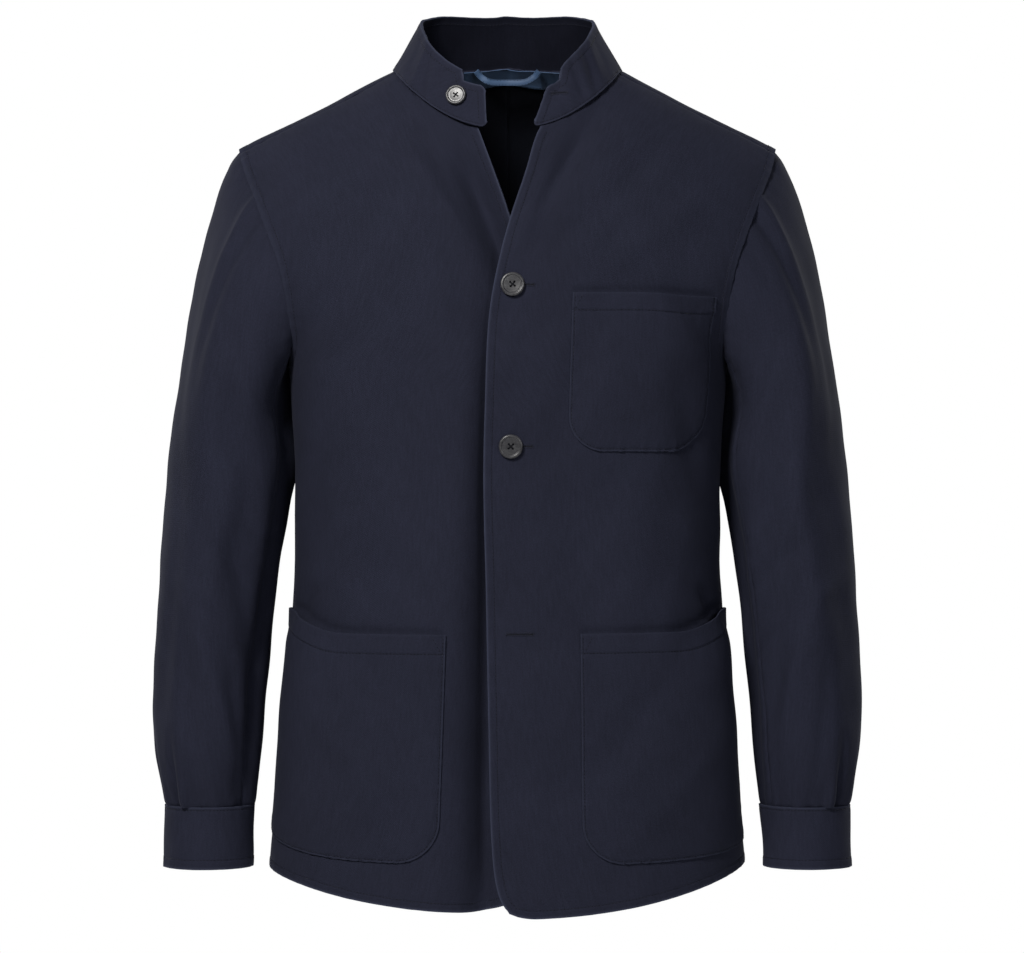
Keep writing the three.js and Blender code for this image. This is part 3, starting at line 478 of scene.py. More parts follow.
def patchGrid(edges, cell, place):
    coarse = np.linspace(0, 1, 41)
    down, across = np.meshgrid(coarse, coarse, indexing="ij")
    points = place(*patch(edges, down, across))
    rowLength = np.linalg.norm(np.diff(points, axis=1), axis=2).sum(1)
    columnLength = np.linalg.norm(np.diff(points, axis=0), axis=2).sum(0)
    reach = edgeSteps[-1]
    columns = round((rowLength.mean() - 2 * reach) / cell)
    rows = round((columnLength.mean() - 2 * reach) / cell)
    flatDown = sharesFor(columnLength.mean(), edgeSteps, edgeSteps, rows)[0]
    flatAcross = sharesFor(rowLength.mean(), edgeSteps, edgeSteps, columns)[0]
    across = sharesFor(np.interp(flatDown, coarse, rowLength), edgeSteps, edgeSteps, columns)
    down = sharesFor(np.interp(flatAcross, coarse, columnLength), edgeSteps, edgeSteps, rows).T
    return patch(edges, down, across)


# Distance of each point from a line, and how far along the line its nearest point lies.
def toLine(points, line):
    along = lengthsAlong(line)
    line = lineAt(line, np.linspace(0, 1, max(8, int(along[-1] / 0.8))))
    along = np.linspace(0, along[-1], len(line))
    flat = points.reshape(-1, 3)
    distance = np.empty(len(flat))
    where = np.empty(len(flat))
    size = (line ** 2).sum(1)
    for start in range(0, len(flat), 4000):
        part = flat[start:start + 4000]
        square = (part ** 2).sum(1)[:, None] + size[None, :] - 2 * part @ line.T
        nearest = square.argmin(1)
        distance[start:start + 4000] = np.sqrt(np.maximum(square[np.arange(len(part)), nearest], 0))
        where[start:start + 4000] = along[nearest]
    shape = points.shape[:-1]
    return distance.reshape(shape), where.reshape(shape)


def gridNormals(points, outward):
    along = np.gradient(points, axis=0)
    across = np.gradient(points, axis=1)
    normal = unit(np.cross(along, across))
    middle = tuple(size // 2 for size in points.shape[:2])
    return normal if np.dot(normal[middle], outward[middle]) > 0 else -normal


# Relief near edges and seams

def groove(distance, at, depth=0.34, width=0.9):
    return -depth * np.exp(-(((distance - at) / width) ** 2))


def seamDip(distance, depth=0.85, width=1.5):
    return -depth * np.exp(-((distance / width) ** 2))


def band(distance, to, height=0.45):
    return height * (1 - ease(to - 0.6, to + 1.6, distance))


# Small ripples that a sewn line draws into the cloth beside it.
def pucker(distance, along, seed, size=0.22, reach=11, wave=11):
    phase = seed * 1.7
    ripple = (
        np.sin(along * 2 * math.pi / wave + phase)
        + 0.6 * np.sin(along * 2 * math.pi / (wave * 1.73) + 2.1 * phase + 1)
        + 0.4 * np.sin(along * 2 * math.pi / (wave * 0.61) + 0.6 * phase + 2)
    )
    return size * ripple * np.exp(-((distance / reach) ** 2))


# A sewn seam: how far each point lies from it, and the dip and ripples it makes.
def seamRelief(points, line, seed, ripple, dip=0.85):
    distance, along = toLine(points, line)
    return distance, seamDip(distance, dip) + pucker(distance, along, seed, *ripple)


# A turned and topstitched edge: the same, with a groove under the stitches and a thicker band.
def edgeRelief(points, line, inset, seed, ripple, depth=0.34, height=0.45):
    distance, along = toLine(points, line)
    relief = groove(distance, inset, depth) + band(distance, inset, height)
    return distance, relief + pucker(distance, along, seed, *ripple)


# Slow unevenness of hand-worn cloth.
def unevenness(x, z, seed, size=0.35):
    total = np.zeros_like(x)
    dice = random.Random(seed)
    for _ in range(7):
        wave = dice.uniform(38, 120)
        turn = dice.uniform(0, math.pi)
        phase = dice.uniform(0, 2 * math.pi)
        total = total + np.sin((x * math.cos(turn) + z * math.sin(turn)) * 2 * math.pi / wave + phase)
    return size * total / 2.6

# Materials

def newMaterial(name):
    material = bpy.data.materials.new(name)
    material.use_nodes = True
    tree = material.node_tree
    return material, tree, tree.nodes["Principled BSDF"]


def addNode(tree, kind, **values):
    node = tree.nodes.new(kind)
    for key, value in values.items():
        if hasattr(node, key):
            setattr(node, key, value)
        else:
            node.inputs[key].default_value = value
    return node


def ramp(tree, source, low, high, lowAt=0.3, highAt=0.7):
    node = tree.nodes.new("ShaderNodeMapRange")
    node.inputs["From Min"].default_value = lowAt
    node.inputs["From Max"].default_value = highAt
    node.inputs["To Min"].default_value = low
    node.inputs["To Max"].default_value = high
    tree.links.new(source, node.inputs["Value"])
    return node.outputs["Result"]


# A colour times a grey factor.
def tinted(tree, colour, factor):
    tone = addNode(tree, "ShaderNodeMixRGB", blend_type="MULTIPLY", Fac=1.0, Color1=(*colour, 1))
    tree.links.new(factor, tone.inputs["Color2"])
    return tone.outputs["Color"]


def times(tree, first, second):
    node = addNode(tree, "ShaderNodeMath", operation="MULTIPLY")
    tree.links.new(first, node.inputs[0])
    tree.links.new(second, node.inputs[1])
    return node.outputs[0]


def noiseOn(tree, coordinates, **values):
    node = addNode(tree, "ShaderNodeTexNoise", **values)
    tree.links.new(coordinates, node.inputs["Vector"])
    return node.outputs["Fac"]


def mapped(tree, coordinates, turn, scale=(1, 1, 1)):
    node = addNode(tree, "ShaderNodeMapping", Rotation=(0, 0, turn), Scale=scale)
    tree.links.new(coordinates, node.inputs["Vector"])
    return node.outputs["Vector"]


def bumpFrom(tree, height, strength, distance, shader):
    bump = addNode(tree, "ShaderNodeBump", Strength=strength, Distance=distance)
    tree.links.new(height, bump.inputs["Height"])
    tree.links.new(bump.outputs["Normal"], shader.inputs["Normal"])


# Brushed cotton: a fine twill under a soft nap, in the piece's own UV map, which counts metres.
def clothMaterial(name, colour, look):
    material, tree, shader = newMaterial(name)
    link = tree.links.new
    uv = addNode(tree, "ShaderNodeUVMap", uv_map="cloth").outputs["UV"]
    nap = noiseOn(tree, uv, Scale=look["napScale"], Detail=4, Roughness=0.62)
    brushed = mapped(tree, uv, 0.35, (1.0, 0.16, 1.0))
    streak = noiseOn(tree, brushed, Scale=look["streakScale"], Detail=3, Roughness=0.5)
    patchy = noiseOn(tree, uv, Scale=look["patchScale"], Detail=3, Roughness=0.55)
    twill = addNode(
        tree, "ShaderNodeTexWave", wave_type="BANDS", bands_direction="X",
        Scale=look["twillScale"], Distortion=0.6, Detail=1,
    )
    link(mapped(tree, uv, look["twillTurn"]), twill.inputs["Vector"])

    def around(source, tone):
        return ramp(tree, source, 1 - tone, 1 + tone)

    # colour: patches, nap and streaks, and the pale edges, a painted highlight along each edge with some wear
    shade = times(tree, around(patchy, look["patchTone"]), around(nap, look["napTone"]))
    shade = times(tree, shade, around(streak, look["streakTone"]))
    pale = addNode(tree, "ShaderNodeMixRGB", blend_type="MIX", Color2=(*look["wearAndHighlightColour"], 1))
    link(addNode(tree, "ShaderNodeAttribute", attribute_name="wearAndHighlight").outputs["Fac"], pale.inputs["Fac"])
    link(tinted(tree, colour, shade), pale.inputs["Color1"])
    link(pale.outputs["Color"], shader.inputs["Base Color"])
    # relief: nap over twill
    twillHeight = addNode(tree, "ShaderNodeMath", operation="MULTIPLY")
    link(twill.outputs["Fac"], twillHeight.inputs[0])
    twillHeight.inputs[1].default_value = look["twillDepth"]
    height = addNode(tree, "ShaderNodeMath", operation="MULTIPLY_ADD")
    link(nap, height.inputs[0])
    height.inputs[1].default_value = look["napDepth"]
    link(twillHeight.outputs[0], height.inputs[2])
    bumpFrom(tree, height.outputs[0], look["bump"], 0.0003, shader)
    rough = ramp(tree, nap, look["roughness"] - 0.05, look["roughness"] + 0.05)
    link(rough, shader.inputs["Roughness"])
    shader.inputs["Specular IOR Level"].default_value = look["specular"]
    shader.inputs["Sheen Weight"].default_value = look["sheen"]
    shader.inputs["Sheen Roughness"].default_value = look["sheenRoughness"]
    shader.inputs["Sheen Tint"].default_value = (*look["sheenTint"], 1)
    return material


# The paler colour of the edges is a painted highlight along them, with some wear.
navyLook = {
    "napScale": 900, "streakScale": 420, "patchScale": 14, "twillScale": 260, "twillTurn": 0.78,
    "patchTone": 0.08, "napTone": 0.26, "streakTone": 0.09, "napDepth": 0.7, "twillDepth": 0.35, "bump": 0.35,
    "roughness": 0.9, "specular": 0.1, "sheen": 0.02, "sheenRoughness": 0.45, "sheenTint": (0.55, 0.6, 0.85),
    "wearAndHighlightColour": (0.045, 0.052, 0.085),
}
insideLook = dict(navyLook, sheen=0.0, specular=0.06, patchTone=0.12, wearAndHighlightColour=(0.012, 0.016, 0.026))
blueLook = dict(
    navyLook, napScale=1500, napTone=0.07, streakTone=0.05, twillScale=420, roughness=0.55, specular=0.3,
    sheen=0.1, sheenTint=(0.6, 0.75, 1.0), wearAndHighlightColour=(0.06, 0.1, 0.17),
)
navyCloth = clothMaterial("navyCloth", (0.0132, 0.0145, 0.0262), navyLook)
# The wrong side of the cloth, coloured about a quarter as bright as the outer side: painted shade of the inside.
shadedInsideCloth = clothMaterial("shadedInsideCloth", (0.0030, 0.0036, 0.0062), insideLook)
# The collar's inner face, coloured half as bright as the outer cloth: painted shade.
shadedCollarInside = clothMaterial("shadedCollarInside", (0.0064, 0.0070, 0.0125), insideLook)
blueCloth = clothMaterial("blueCloth", (0.042, 0.080, 0.156), blueLook)


def threadMaterial(name, colour, roughness=0.6):
    material, tree, shader = newMaterial(name)
    place = addNode(tree, "ShaderNodeTexCoord").outputs["Object"]
    fibres = noiseOn(tree, place, Scale=2600, Detail=2)
    tree.links.new(tinted(tree, colour, ramp(tree, fibres, 0.7, 1.3)), shader.inputs["Base Color"])
    shader.inputs["Roughness"].default_value = roughness
    shader.inputs["Specular IOR Level"].default_value = 0.2
    return material


navyThread = threadMaterial("navyThread", (0.0105, 0.0120, 0.0230))
# Near-black: the thread of the buttons' crosses and shanks, and painted shade for the needle holes and buttonhole
# slits.
darkThreadAndShade = threadMaterial("darkThreadAndShade", (0.0030, 0.0034, 0.0060), 0.8)
blueThread = threadMaterial("blueThread", (0.030, 0.055, 0.105))


def hornMaterial():
    material, tree, shader = newMaterial("greyHorn")
    place = addNode(tree, "ShaderNodeTexCoord").outputs["Object"]
    veins = noiseOn(tree, mapped(tree, place, 0, (1.0, 1.0, 2.4)), Scale=190, Detail=5, Distortion=1.6)
    colours = tree.nodes.new("ShaderNodeValToRGB")
    for element, position, colour in zip(
        colours.color_ramp.elements, (0.3, 0.72), ((0.016, 0.016, 0.019, 1), (0.046, 0.046, 0.050, 1)),
    ):
        element.position = position
        element.color = colour
    tree.links.new(veins, colours.inputs["Fac"])
    tree.links.new(colours.outputs["Color"], shader.inputs["Base Color"])
    scratches = noiseOn(tree, place, Scale=1800, Detail=2)
    tree.links.new(ramp(tree, scratches, 0.28, 0.42), shader.inputs["Roughness"])
    bumpFrom(tree, scratches, 0.08, 0.0002, shader)
    shader.inputs["Specular IOR Level"].default_value = 0.5
    return material


greyHorn = hornMaterial()

# Making pieces

def newObject(name, mesh, materials):
    made = bpy.data.objects.new(name, mesh)
    bpy.context.scene.collection.objects.link(made)
    for material in materials:
        mesh.materials.append(material)
    return made


# A grid operator's sheet whose points take the places of a surface.
def gridObject(name, points, normals, materials, wearAndHighlight=None):
    rows, columns = points.shape[:2]
    shape = bmesh.new()
    bmesh.ops.create_grid(shape, x_segments=columns - 1, y_segments=rows - 1, size=0.5)
    mesh = bpy.data.meshes.new(name)
    shape.to_mesh(mesh)
    shape.free()
    flat = np.empty(len(mesh.vertices) * 3, np.float32)
    mesh.vertices.foreach_get("co", flat)
    flat = flat.reshape(-1, 3)
    column = np.rint((flat[:, 0] + 0.5) * (columns - 1)).astype(int)
    row = np.rint((flat[:, 1] + 0.5) * (rows - 1)).astype(int)
    mesh.vertices.foreach_set("co", (points[row, column] * metre).astype(np.float32).ravel())
    across = np.cumsum(np.linalg.norm(np.diff(points, axis=1, prepend=points[:, :1]), axis=2), axis=1)
    down = np.cumsum(np.linalg.norm(np.diff(points, axis=0, prepend=points[:1]), axis=2), axis=0)
    middle = columns // 2
    across = across - across[:, middle:middle + 1]
    corners = np.empty(len(mesh.loops), np.int32)
    mesh.loops.foreach_get("vertex_index", corners)
    uv = np.stack([across[row, column], -down[row, column]], -1)[corners] * metre
    mesh.uv_layers.new(name="cloth").data.foreach_set("uv", uv.astype(np.float32).ravel())
    # mask of the pale edges: painted highlight along the edges, with some wear
    wearAndHighlightLayer = mesh.attributes.new("wearAndHighlight", "FLOAT", "POINT")
    if wearAndHighlight is not None:
        wearAndHighlightLayer.data.foreach_set("value", wearAndHighlight[row, column].astype(np.float32))
    centre = points[rows // 2, middle]
    turn = np.cross(points[rows // 2, middle + 1] - centre, points[rows // 2 + 1, middle] - centre)
    if np.dot(turn, normals[rows // 2, middle]) < 0:
        mesh.flip_normals()
    mesh.shade_smooth()
    return newObject(name, mesh, materials)


def addWall(made, wall, rim=0.45):
    shell = made.modifiers.new("wall", "SOLIDIFY")
    shell.thickness = wall * metre
    shell.offset = 0
    shell.material_offset = 1
    shell.use_rim = True
    edge = made.modifiers.new("rim", "BEVEL")
    edge.limit_method = "ANGLE"
    edge.angle_limit = 55 * degree
    edge.width = rim * metre
    edge.segments = 2


def ridesAs(made, slotName, *nodes):
    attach(made, "root")
    if nodes:
        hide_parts(*nodes)


stitchRuns, surfaces = {}, {}
sewing = {"step": 0.6, "reach": 7, "slack": 0.25}


# Lays a sewing line at a distance inside an edge of a finished surface.
def sewInside(group, boundary, points, normals, inset, half, skipStart=0.0, skipEnd=0.0):
    flat = points.reshape(-1, 3)
    flatNormals = normals.reshape(-1, 3)
    length = lengthsAlong(boundary)[-1]
    line = lineAt(boundary, np.linspace(0, 1, max(8, int(length / sewing["step"]))))
    near = toLine(flat, boundary)[0] < inset + sewing["reach"]
    flat, flatNormals = flat[near], flatNormals[near]

    def settle(where):
        square = (flat ** 2).sum(1)[None, :] + (where ** 2).sum(1)[:, None] - 2 * where @ flat.T
        nearest = np.argpartition(square, 4, axis=1)[:, :4]
        gaps = np.sqrt(np.maximum(np.take_along_axis(square, nearest, 1), 0)) + 0.05
        weight = (1 / gaps)[..., None]
        base = (flat[nearest] * weight).sum(1) / weight.sum(1)
        normal = unit((flatNormals[nearest] * weight).sum(1))
        lift = ((where - base) * normal).sum(1, keepdims=True)
        return where - normal * lift, normal, gaps.min(1)

    normal = settle(line)[1]
    tangent = unit(np.gradient(line, axis=0))
    inward = unit(np.cross(normal, tangent))
    middle = len(line) // 2
    gapPlus = settle(line[middle:middle + 1] + inward[middle:middle + 1] * inset)[2][0]
    gapMinus = settle(line[middle:middle + 1] - inward[middle:middle + 1] * inset)[2][0]
    if gapMinus < gapPlus:
        inward = -inward
    where, normal = settle(line + inward * inset)[:2]
    far = toLine(where, boundary)[0]
    along = np.linspace(0, length, len(line))
    keep = (far > inset - sewing["slack"]) & (along >= skipStart) & (along <= length - skipEnd)
    where, normal = where[keep], normal[keep]
    stitchRuns.setdefault(group, []).append((where + normal * half, normal))
    return where - normal * half, -normal


# hole and holeLift size and seat the dark blob of painted shade in each needle hole
thread = {
    "pitch": 2.9, "length": 2.15, "thick": 0.42, "flat": 0.8, "lift": 0.02, "wander": 0.07,
    "hole": (1.0, 0.8, 0.24), "holeLift": 0.06, "stepLeast": 0.5, "stepMost": 2.6,
}


def stitchMatrix(place, along, out, length, width, height):
    side = np.cross(out, along)
    side = side / max(np.linalg.norm(side), 1e-9)
    out = np.cross(along, side)
    matrix = Matrix((
        (side[0] * width, out[0] * height, along[0] * length, place[0]),
        (side[1] * width, out[1] * height, along[1] * length, place[1]),
        (side[2] * width, out[2] * height, along[2] * length, place[2]),
    )).to_4x4()
    return Matrix.Scale(metre, 4) @ matrix


def stitchShape(shape, place, along, out, length, width, height, sides=6, rings=4):
    matrix = stitchMatrix(place, along, out, length, width, height)
    bmesh.ops.create_uvsphere(shape, u_segments=sides, v_segments=rings, radius=0.5, matrix=matrix)


def meshFrom(name, shape, material, smooth=True):
    mesh = bpy.data.meshes.new(name)
    shape.to_mesh(mesh)
    shape.free()
    if smooth:
        mesh.shade_smooth()
    return newObject(name, mesh, [material])


def joinMeshes(name, shapes, material):
    whole = bmesh.new()
    for shape in shapes:
        part = bpy.data.meshes.new("part")
        shape.to_mesh(part)
        shape.free()
        whole.from_mesh(part)
        bpy.data.meshes.remove(part)
    return meshFrom(name, whole, material)


# Turns the sewing lines of a group into stitches, with a dark blob between each two that paints the shade of a
# needle hole.
def sewGroup(name, material, slotName):
    dice = random.Random(len(name) * 17)
    stitches, needleHoleShades = [], []
    for where, normal in stitchRuns[name]:
        along = lengthsAlong(where)
        count = int(along[-1] / thread["pitch"])
        rowOfStitches, rowOfHoleShades = bmesh.new(), bmesh.new()

        def at(values, distance):
            return np.array([np.interp(distance, along, values[:, axis]) for axis in range(3)])

        for index in range(count):
            distance = (index + 0.5) * along[-1] / count
            place = at(where, distance)
            course = at(where, distance + 1) - at(where, distance - 1)
            out = at(normal, distance)
            if not thread["stepLeast"] <= np.linalg.norm(course) <= thread["stepMost"]:
                continue
            course = course / np.linalg.norm(course)
            out = out / np.linalg.norm(out)
            shift = np.cross(out, course) * dice.uniform(-thread["wander"], thread["wander"])
            length = thread["length"] * dice.uniform(0.93, 1.05)
            stitchShape(
                rowOfStitches, place + shift + out * thread["lift"], course, out,
                length, thread["thick"], thread["thick"] * thread["flat"],
            )
            # a dark blob sunk between the stitches: painted shade of the needle hole
            hole = place + course * thread["pitch"] / 2 + out * thread["holeLift"]
            stitchShape(rowOfHoleShades, hole, course, out, *thread["hole"], 5, 3)
        stitches.append(rowOfStitches)
        needleHoleShades.append(rowOfHoleShades)
    ridesAs(joinMeshes("stitches_" + name, stitches, material), slotName)
    ridesAs(joinMeshes("needle_hole_shades_" + name, needleHoleShades, darkThreadAndShade), slotName)


# One cut of cloth, dressed: its shell stands for the node of the same name.
def clothPiece(name, points, normals, wall, wearAndHighlight=None, rim=0.45, inside=shadedInsideCloth):
    made = gridObject("cloth_" + name, points, normals, [navyCloth, inside], wearAndHighlight)
    addWall(made, wall, rim)
    ridesAs(made, "cloth", name)
    surfaces[name] = (points, normals)


def bluePiece(name, points, normals, wall, rim):
    made = gridObject("cloth_" + name, points, normals, [blueCloth, blueCloth])
    addWall(made, wall, rim)
    ridesAs(made, "facing_cloth", name)


# Outline of the patch pockets

pockets = {
    "pocket_chest": {
        "side": 1, "inner": 54, "innerFoot": 50, "outer": 174, "outerFoot": 163, "outerAngle": None,
        "mouth": -197, "mouthSide": -198.5, "foot": -328, "footSide": -328, "corner": 30,
        "belly": 4.2, "bellyAt": 0.5, "hem": 14.6, "cell": 2.6, "seed": 3,
    },
    "pocket_lower_left": {
        "side": 1, "inner": 60.5, "innerFoot": 62, "outer": None, "outerFoot": None, "outerAngle": 86.5,
        "mouth": -479, "mouthSide": -461, "foot": -668, "footSide": -656, "corner": 34,
        "belly": 8.4, "bellyAt": 0.66, "hem": 16.2, "cell": 3, "seed": 3,
    },
    "pocket_lower_right": {
        "side": -1, "inner": 50.5, "innerFoot": 57, "outer": None, "outerFoot": None, "outerAngle": 86.5,
        "mouth": -480, "mouthSide": -461, "foot": -667, "footSide": -648, "corner": 34,
        "belly": 8.4, "bellyAt": 0.66, "hem": 16.2, "cell": 3, "seed": 8,
    },
}
pocketStitch = 2.0
pocketPuff = 0.9
pocketRise = (0.42, 0.86)
pocketDip = 1.6  # the front lies back a little right above each mouth


def pocketPlace(pocket, across, down):
    reach = abs(pocket["foot"] - pocket["mouth"])
    arc = np.clip((down * reach - (reach - pocket["corner"])) / pocket["corner"], 0, 1)
    drawIn = pocket["corner"] * (1 - np.sqrt(1 - arc ** 2))
    mouth = mix(pocket["mouth"], pocket["mouthSide"], ease(*pocketRise, across))
    foot = mix(pocket["foot"], pocket["footSide"], across ** 2)
    z = mix(mouth, foot, down)
    start, startRun = bodyPlace(mix(pocket["inner"], pocket["innerFoot"], down) + drawIn, z, 1)
    if pocket["outerAngle"]:
        end = pocket["outerAngle"] * degree
    else:
        end = bodyPlace(mix(pocket["outer"], pocket["outerFoot"], down) - drawIn, z, 1)[0]
    angle = mix(start, end, across)
    half = reading(bodySections, "drop", "half", dropOfRun(startRun))
    return pocket["side"] * angle, bodyPlace(half * np.sin(angle), z, 1)[1]


# Fronts and backs

print("body panels")
bodySheets = {
    "front_left": {"side": 1, "cell": 3.3, "seed": 3},
    "front_right": {"side": -1, "cell": 3.3, "seed": 8},
    "back_left": {"side": 1, "cell": 4.4, "seed": 13},
    "back_right": {"side": -1, "cell": 4.4, "seed": 21},
}
edgeStitch, hemStitch, armholeStitch = 6.8, 7.6, 7.0


def bodySheet(name, sheet):
    side, seed = sheet["side"], sheet["seed"]
    isFront = name.startswith("front")
    edges = frontPatch(side) if isFront else backPatch(side)
    piece = ("left" if side > 0 else "right") if isFront else "back"

    def place(angle, run):
        return clothPoint(piece, angle, run)[0]

    angle, run = patchGrid(edges, sheet["cell"], place)
    points, normals = clothPoint(piece, angle, run)
    x, z = points[..., 0], points[..., 2]
    share = np.linspace(0, 1, 260)
    curves = {key: clothPoint(piece, *edge(share))[0] for key, edge in edges.items()}
    hole = curves["last"][share <= armholeShare]
    flank = curves["last"][share >= armholeShare]
    cells = neckCells if isFront else backNeckCells
    neck = curves["top"][share <= cells / (cells + shoulderCells)]
    shoulder = curves["top"][share >= cells / (cells + shoulderCells)]
    lift = unevenness(x, z, seed)
    toHole, relief = edgeRelief(points, hole, armholeStitch, seed, (0.24, 13), 0.5, 0.5)
    lift += relief
    lift += seamRelief(points, flank, seed + 1, (0.18, 9, 14))[1]
    lift += seamRelief(points, shoulder, seed + 2, (0.14, 8, 13))[1]
    lift += seamRelief(points, neck, seed + 3, (0.2, 12, 12), 0.6)[1]
    if isFront:
        free = np.vstack([curves["first"], curves["foot"][1:]])
        for pocket in pockets.values():
            if pocket["side"] == side:
                mouth = clothPoint(piece, *pocketPlace(pocket, np.linspace(0.02, 0.97, 90), 0.0))[0]
                lift += groove(toLine(points, mouth + [0, 0, 1.6])[0], 0, pocketDip, 2.2)
    else:
        free = curves["foot"]
        lift += seamRelief(points, curves["first"], seed + 4, (0.16, 9, 15), 0.7)[1]
    inset = edgeStitch if isFront else hemStitch
    toFree, relief = edgeRelief(points, free, inset, seed + 5, (0.16, 12), height=0.35)
    lift += relief
    # pale edges: painted highlight along the free edges and beside the armhole, with some wear
    wearAndHighlight = 0.55 * np.exp(-((toFree / 1.3) ** 2)) + 0.12 * np.exp(-(((toHole - 1.5) / 2) ** 2))
    points = points + normals * lift[..., None]
    normals = gridNormals(points, normals)
    clothPiece(name, points, normals, thickness["body"], wearAndHighlight)
    half = thickness["body"] / 2
    boundary = np.vstack([points[:, 0], points[-1, 1:]]) if isFront else points[-1]
    sewInside("body", boundary, points, normals, inset, half, 3 if isFront else 1, 1)
    holeEnd = int(np.argmin(np.linalg.norm(points[:, -1] - hole[-1], axis=1)))
    sewInside("body", points[:holeEnd + 1, -1], points, normals, armholeStitch, half, 1, 1)


for name, sheet in bodySheets.items():
    bodySheet(name, sheet)


# Point and direction of a finished surface nearest to x and z, seen from before or behind.
def onSurface(name, x, z):
    points, normals = surfaces[name]
    flat, flatNormals = points.reshape(-1, 3), normals.reshape(-1, 3)
    gap = np.hypot(flat[:, 0] - x, flat[:, 2] - z)
    nearest = np.argsort(gap)[:6]
    weight = (1 / (gap[nearest] + 0.05))[:, None]
    base = (flat[nearest] * weight).sum(0) / weight.sum()
    normal = unit((flatNormals[nearest] * weight).sum(0))
    y = base[1] - (normal[0] * (x - base[0]) + normal[2] * (z - base[2])) / normal[1]
    return np.array([x, y, z]), normal

# Sleeves

print("sleeves")
sleeveRings = {
    "fall": [258, 300, 338, 382, 420, 484, 540, 579, 605, 628],
    "x": [234, 235.8, 236.7, 241.4, 246, 250.5, 254, 254.6, 254, 253.2],
    "half": [45.5, 50.2, 53.8, 52.6, 50.5, 48.4, 46.8, 44.2, 41, 37.3],
    "y": [0, -1, -3, -6, -10, -16, -21, -25, -27, -29],
    "depth": [72, 69, 66, 64, 62, 60, 57, 52, 46, 37],
}
sleeveHead = {
    "turn": [0, 45, 90, 135, 180],
    "slope": [41, 43, 44, 70, 88],
    "away": [40, 34, 26, 14, 8],
    "into": [74, 70, 52, 26, 14],
}
sleeve = {
    "join": 300, "end": 628, "tuck": 1.0, "below": 1.8, "outside": 0.9, "underTuck": 2.6, "rest": 3.2,
    "footDip": 0.7, "pit": 3.5, "girth": 50,
}
# Pleats: turn round the ring from the outermost line, heights, at the head or not, half width, depth.
sleevePleats = [
    (50, 548, 650, False, 5.0, -6.6),
    (61, 552, 650, False, 6.5, 3.8),
    (16, 540, 650, False, 5.5, -4.2),
    (25, 545, 650, False, 6, 1.6),
    (128, 580, 650, False, 6, -2),
    (-40, 570, 650, False, 6, -3.6),
    (-52, 570, 650, False, 7, 1.8),
    (-110, 590, 650, False, 6, -2.0),
    (52, 74, 290, True, 3.6, -5.2),
    (40, 74, 300, True, 3.6, 4.2),
    (74, 84, 260, True, 5.0, -2.2),
    (64, 90, 240, True, 4.5, 1.3),
    (-46, 70, 230, True, 5, -2.2),
    (-62, 84, 250, True, 6, 2),
]
# Long creases of the arm: way round in millimetres from the outermost line, fall, length, half width,
# depth, lean.
sleeveCreases = [
    (28, 250, 230, 9, -2.05, 4),
    (62, 300, 230, 10, 2.23, 9),
    (92, 330, 250, 13, -4.09, 10),
    (118, 380, 170, 9, 2.23, 12),
    (76, 400, 210, 11, 2.79, -6),
    (44, 430, 220, 12, -2.42, -3),
    (104, 470, 170, 10, -2.98, 16),
    (20, 500, 210, 12, 2.05, -5),
    (88, 520, 130, 8, 2.6, 22),
    (66, 560, 150, 8, -2.79, 8),
    (112, 560, 130, 8, -2.05, 10),
    (96, 420, 70, 8, -2.6, 52),
    (84, 450, 80, 8, 2.05, 58),
    (100, 486, 70, 7, -1.86, 50),
    (-24, 300, 260, 13, 2.42, -3),
    (-58, 340, 240, 12, -3.91, -9),
    (-92, 400, 180, 11, 2.6, -14),
    (-70, 420, 90, 8, -3.53, -52),
    (-62, 446, 90, 8, 2.79, -56),
    (-80, 470, 80, 8, -2.79, -50),
    (-40, 520, 190, 11, -2.42, 6),
    (-100, 530, 150, 10, -2.23, 9),
    (138, 400, 420, 11, -8.4, 0),
]


def ringPoint(fall, turn):
    fall, turn = np.broadcast_arrays(np.asarray(fall, float), np.asarray(turn, float))
    return np.stack([
        reading(sleeveRings, "fall", "x", fall) + reading(sleeveRings, "fall", "half", fall) * np.cos(turn),
        reading(sleeveRings, "fall", "y", fall) - reading(sleeveRings, "fall", "depth", fall) * np.sin(turn),
        -fall,
    ], -1)


def pleatLift(turn, fall):
    lift = np.zeros(np.broadcast(turn, fall).shape)
    for pleatTurn, top, bottom, atHead, width, depth in sleevePleats:
        along = np.clip((fall - top) / (bottom - top), 0, 1)
        if atHead:
            strength = ease(0, 0.12, along) * (1 - along) ** 1.2
        else:
            strength = ease(0, 1, along * 1.15)
        across = (turn / degree - pleatTurn) / width
        lift = lift + depth * strength * np.exp(-(across ** 2)) * ((along > 0) & (along < 1))
    return lift


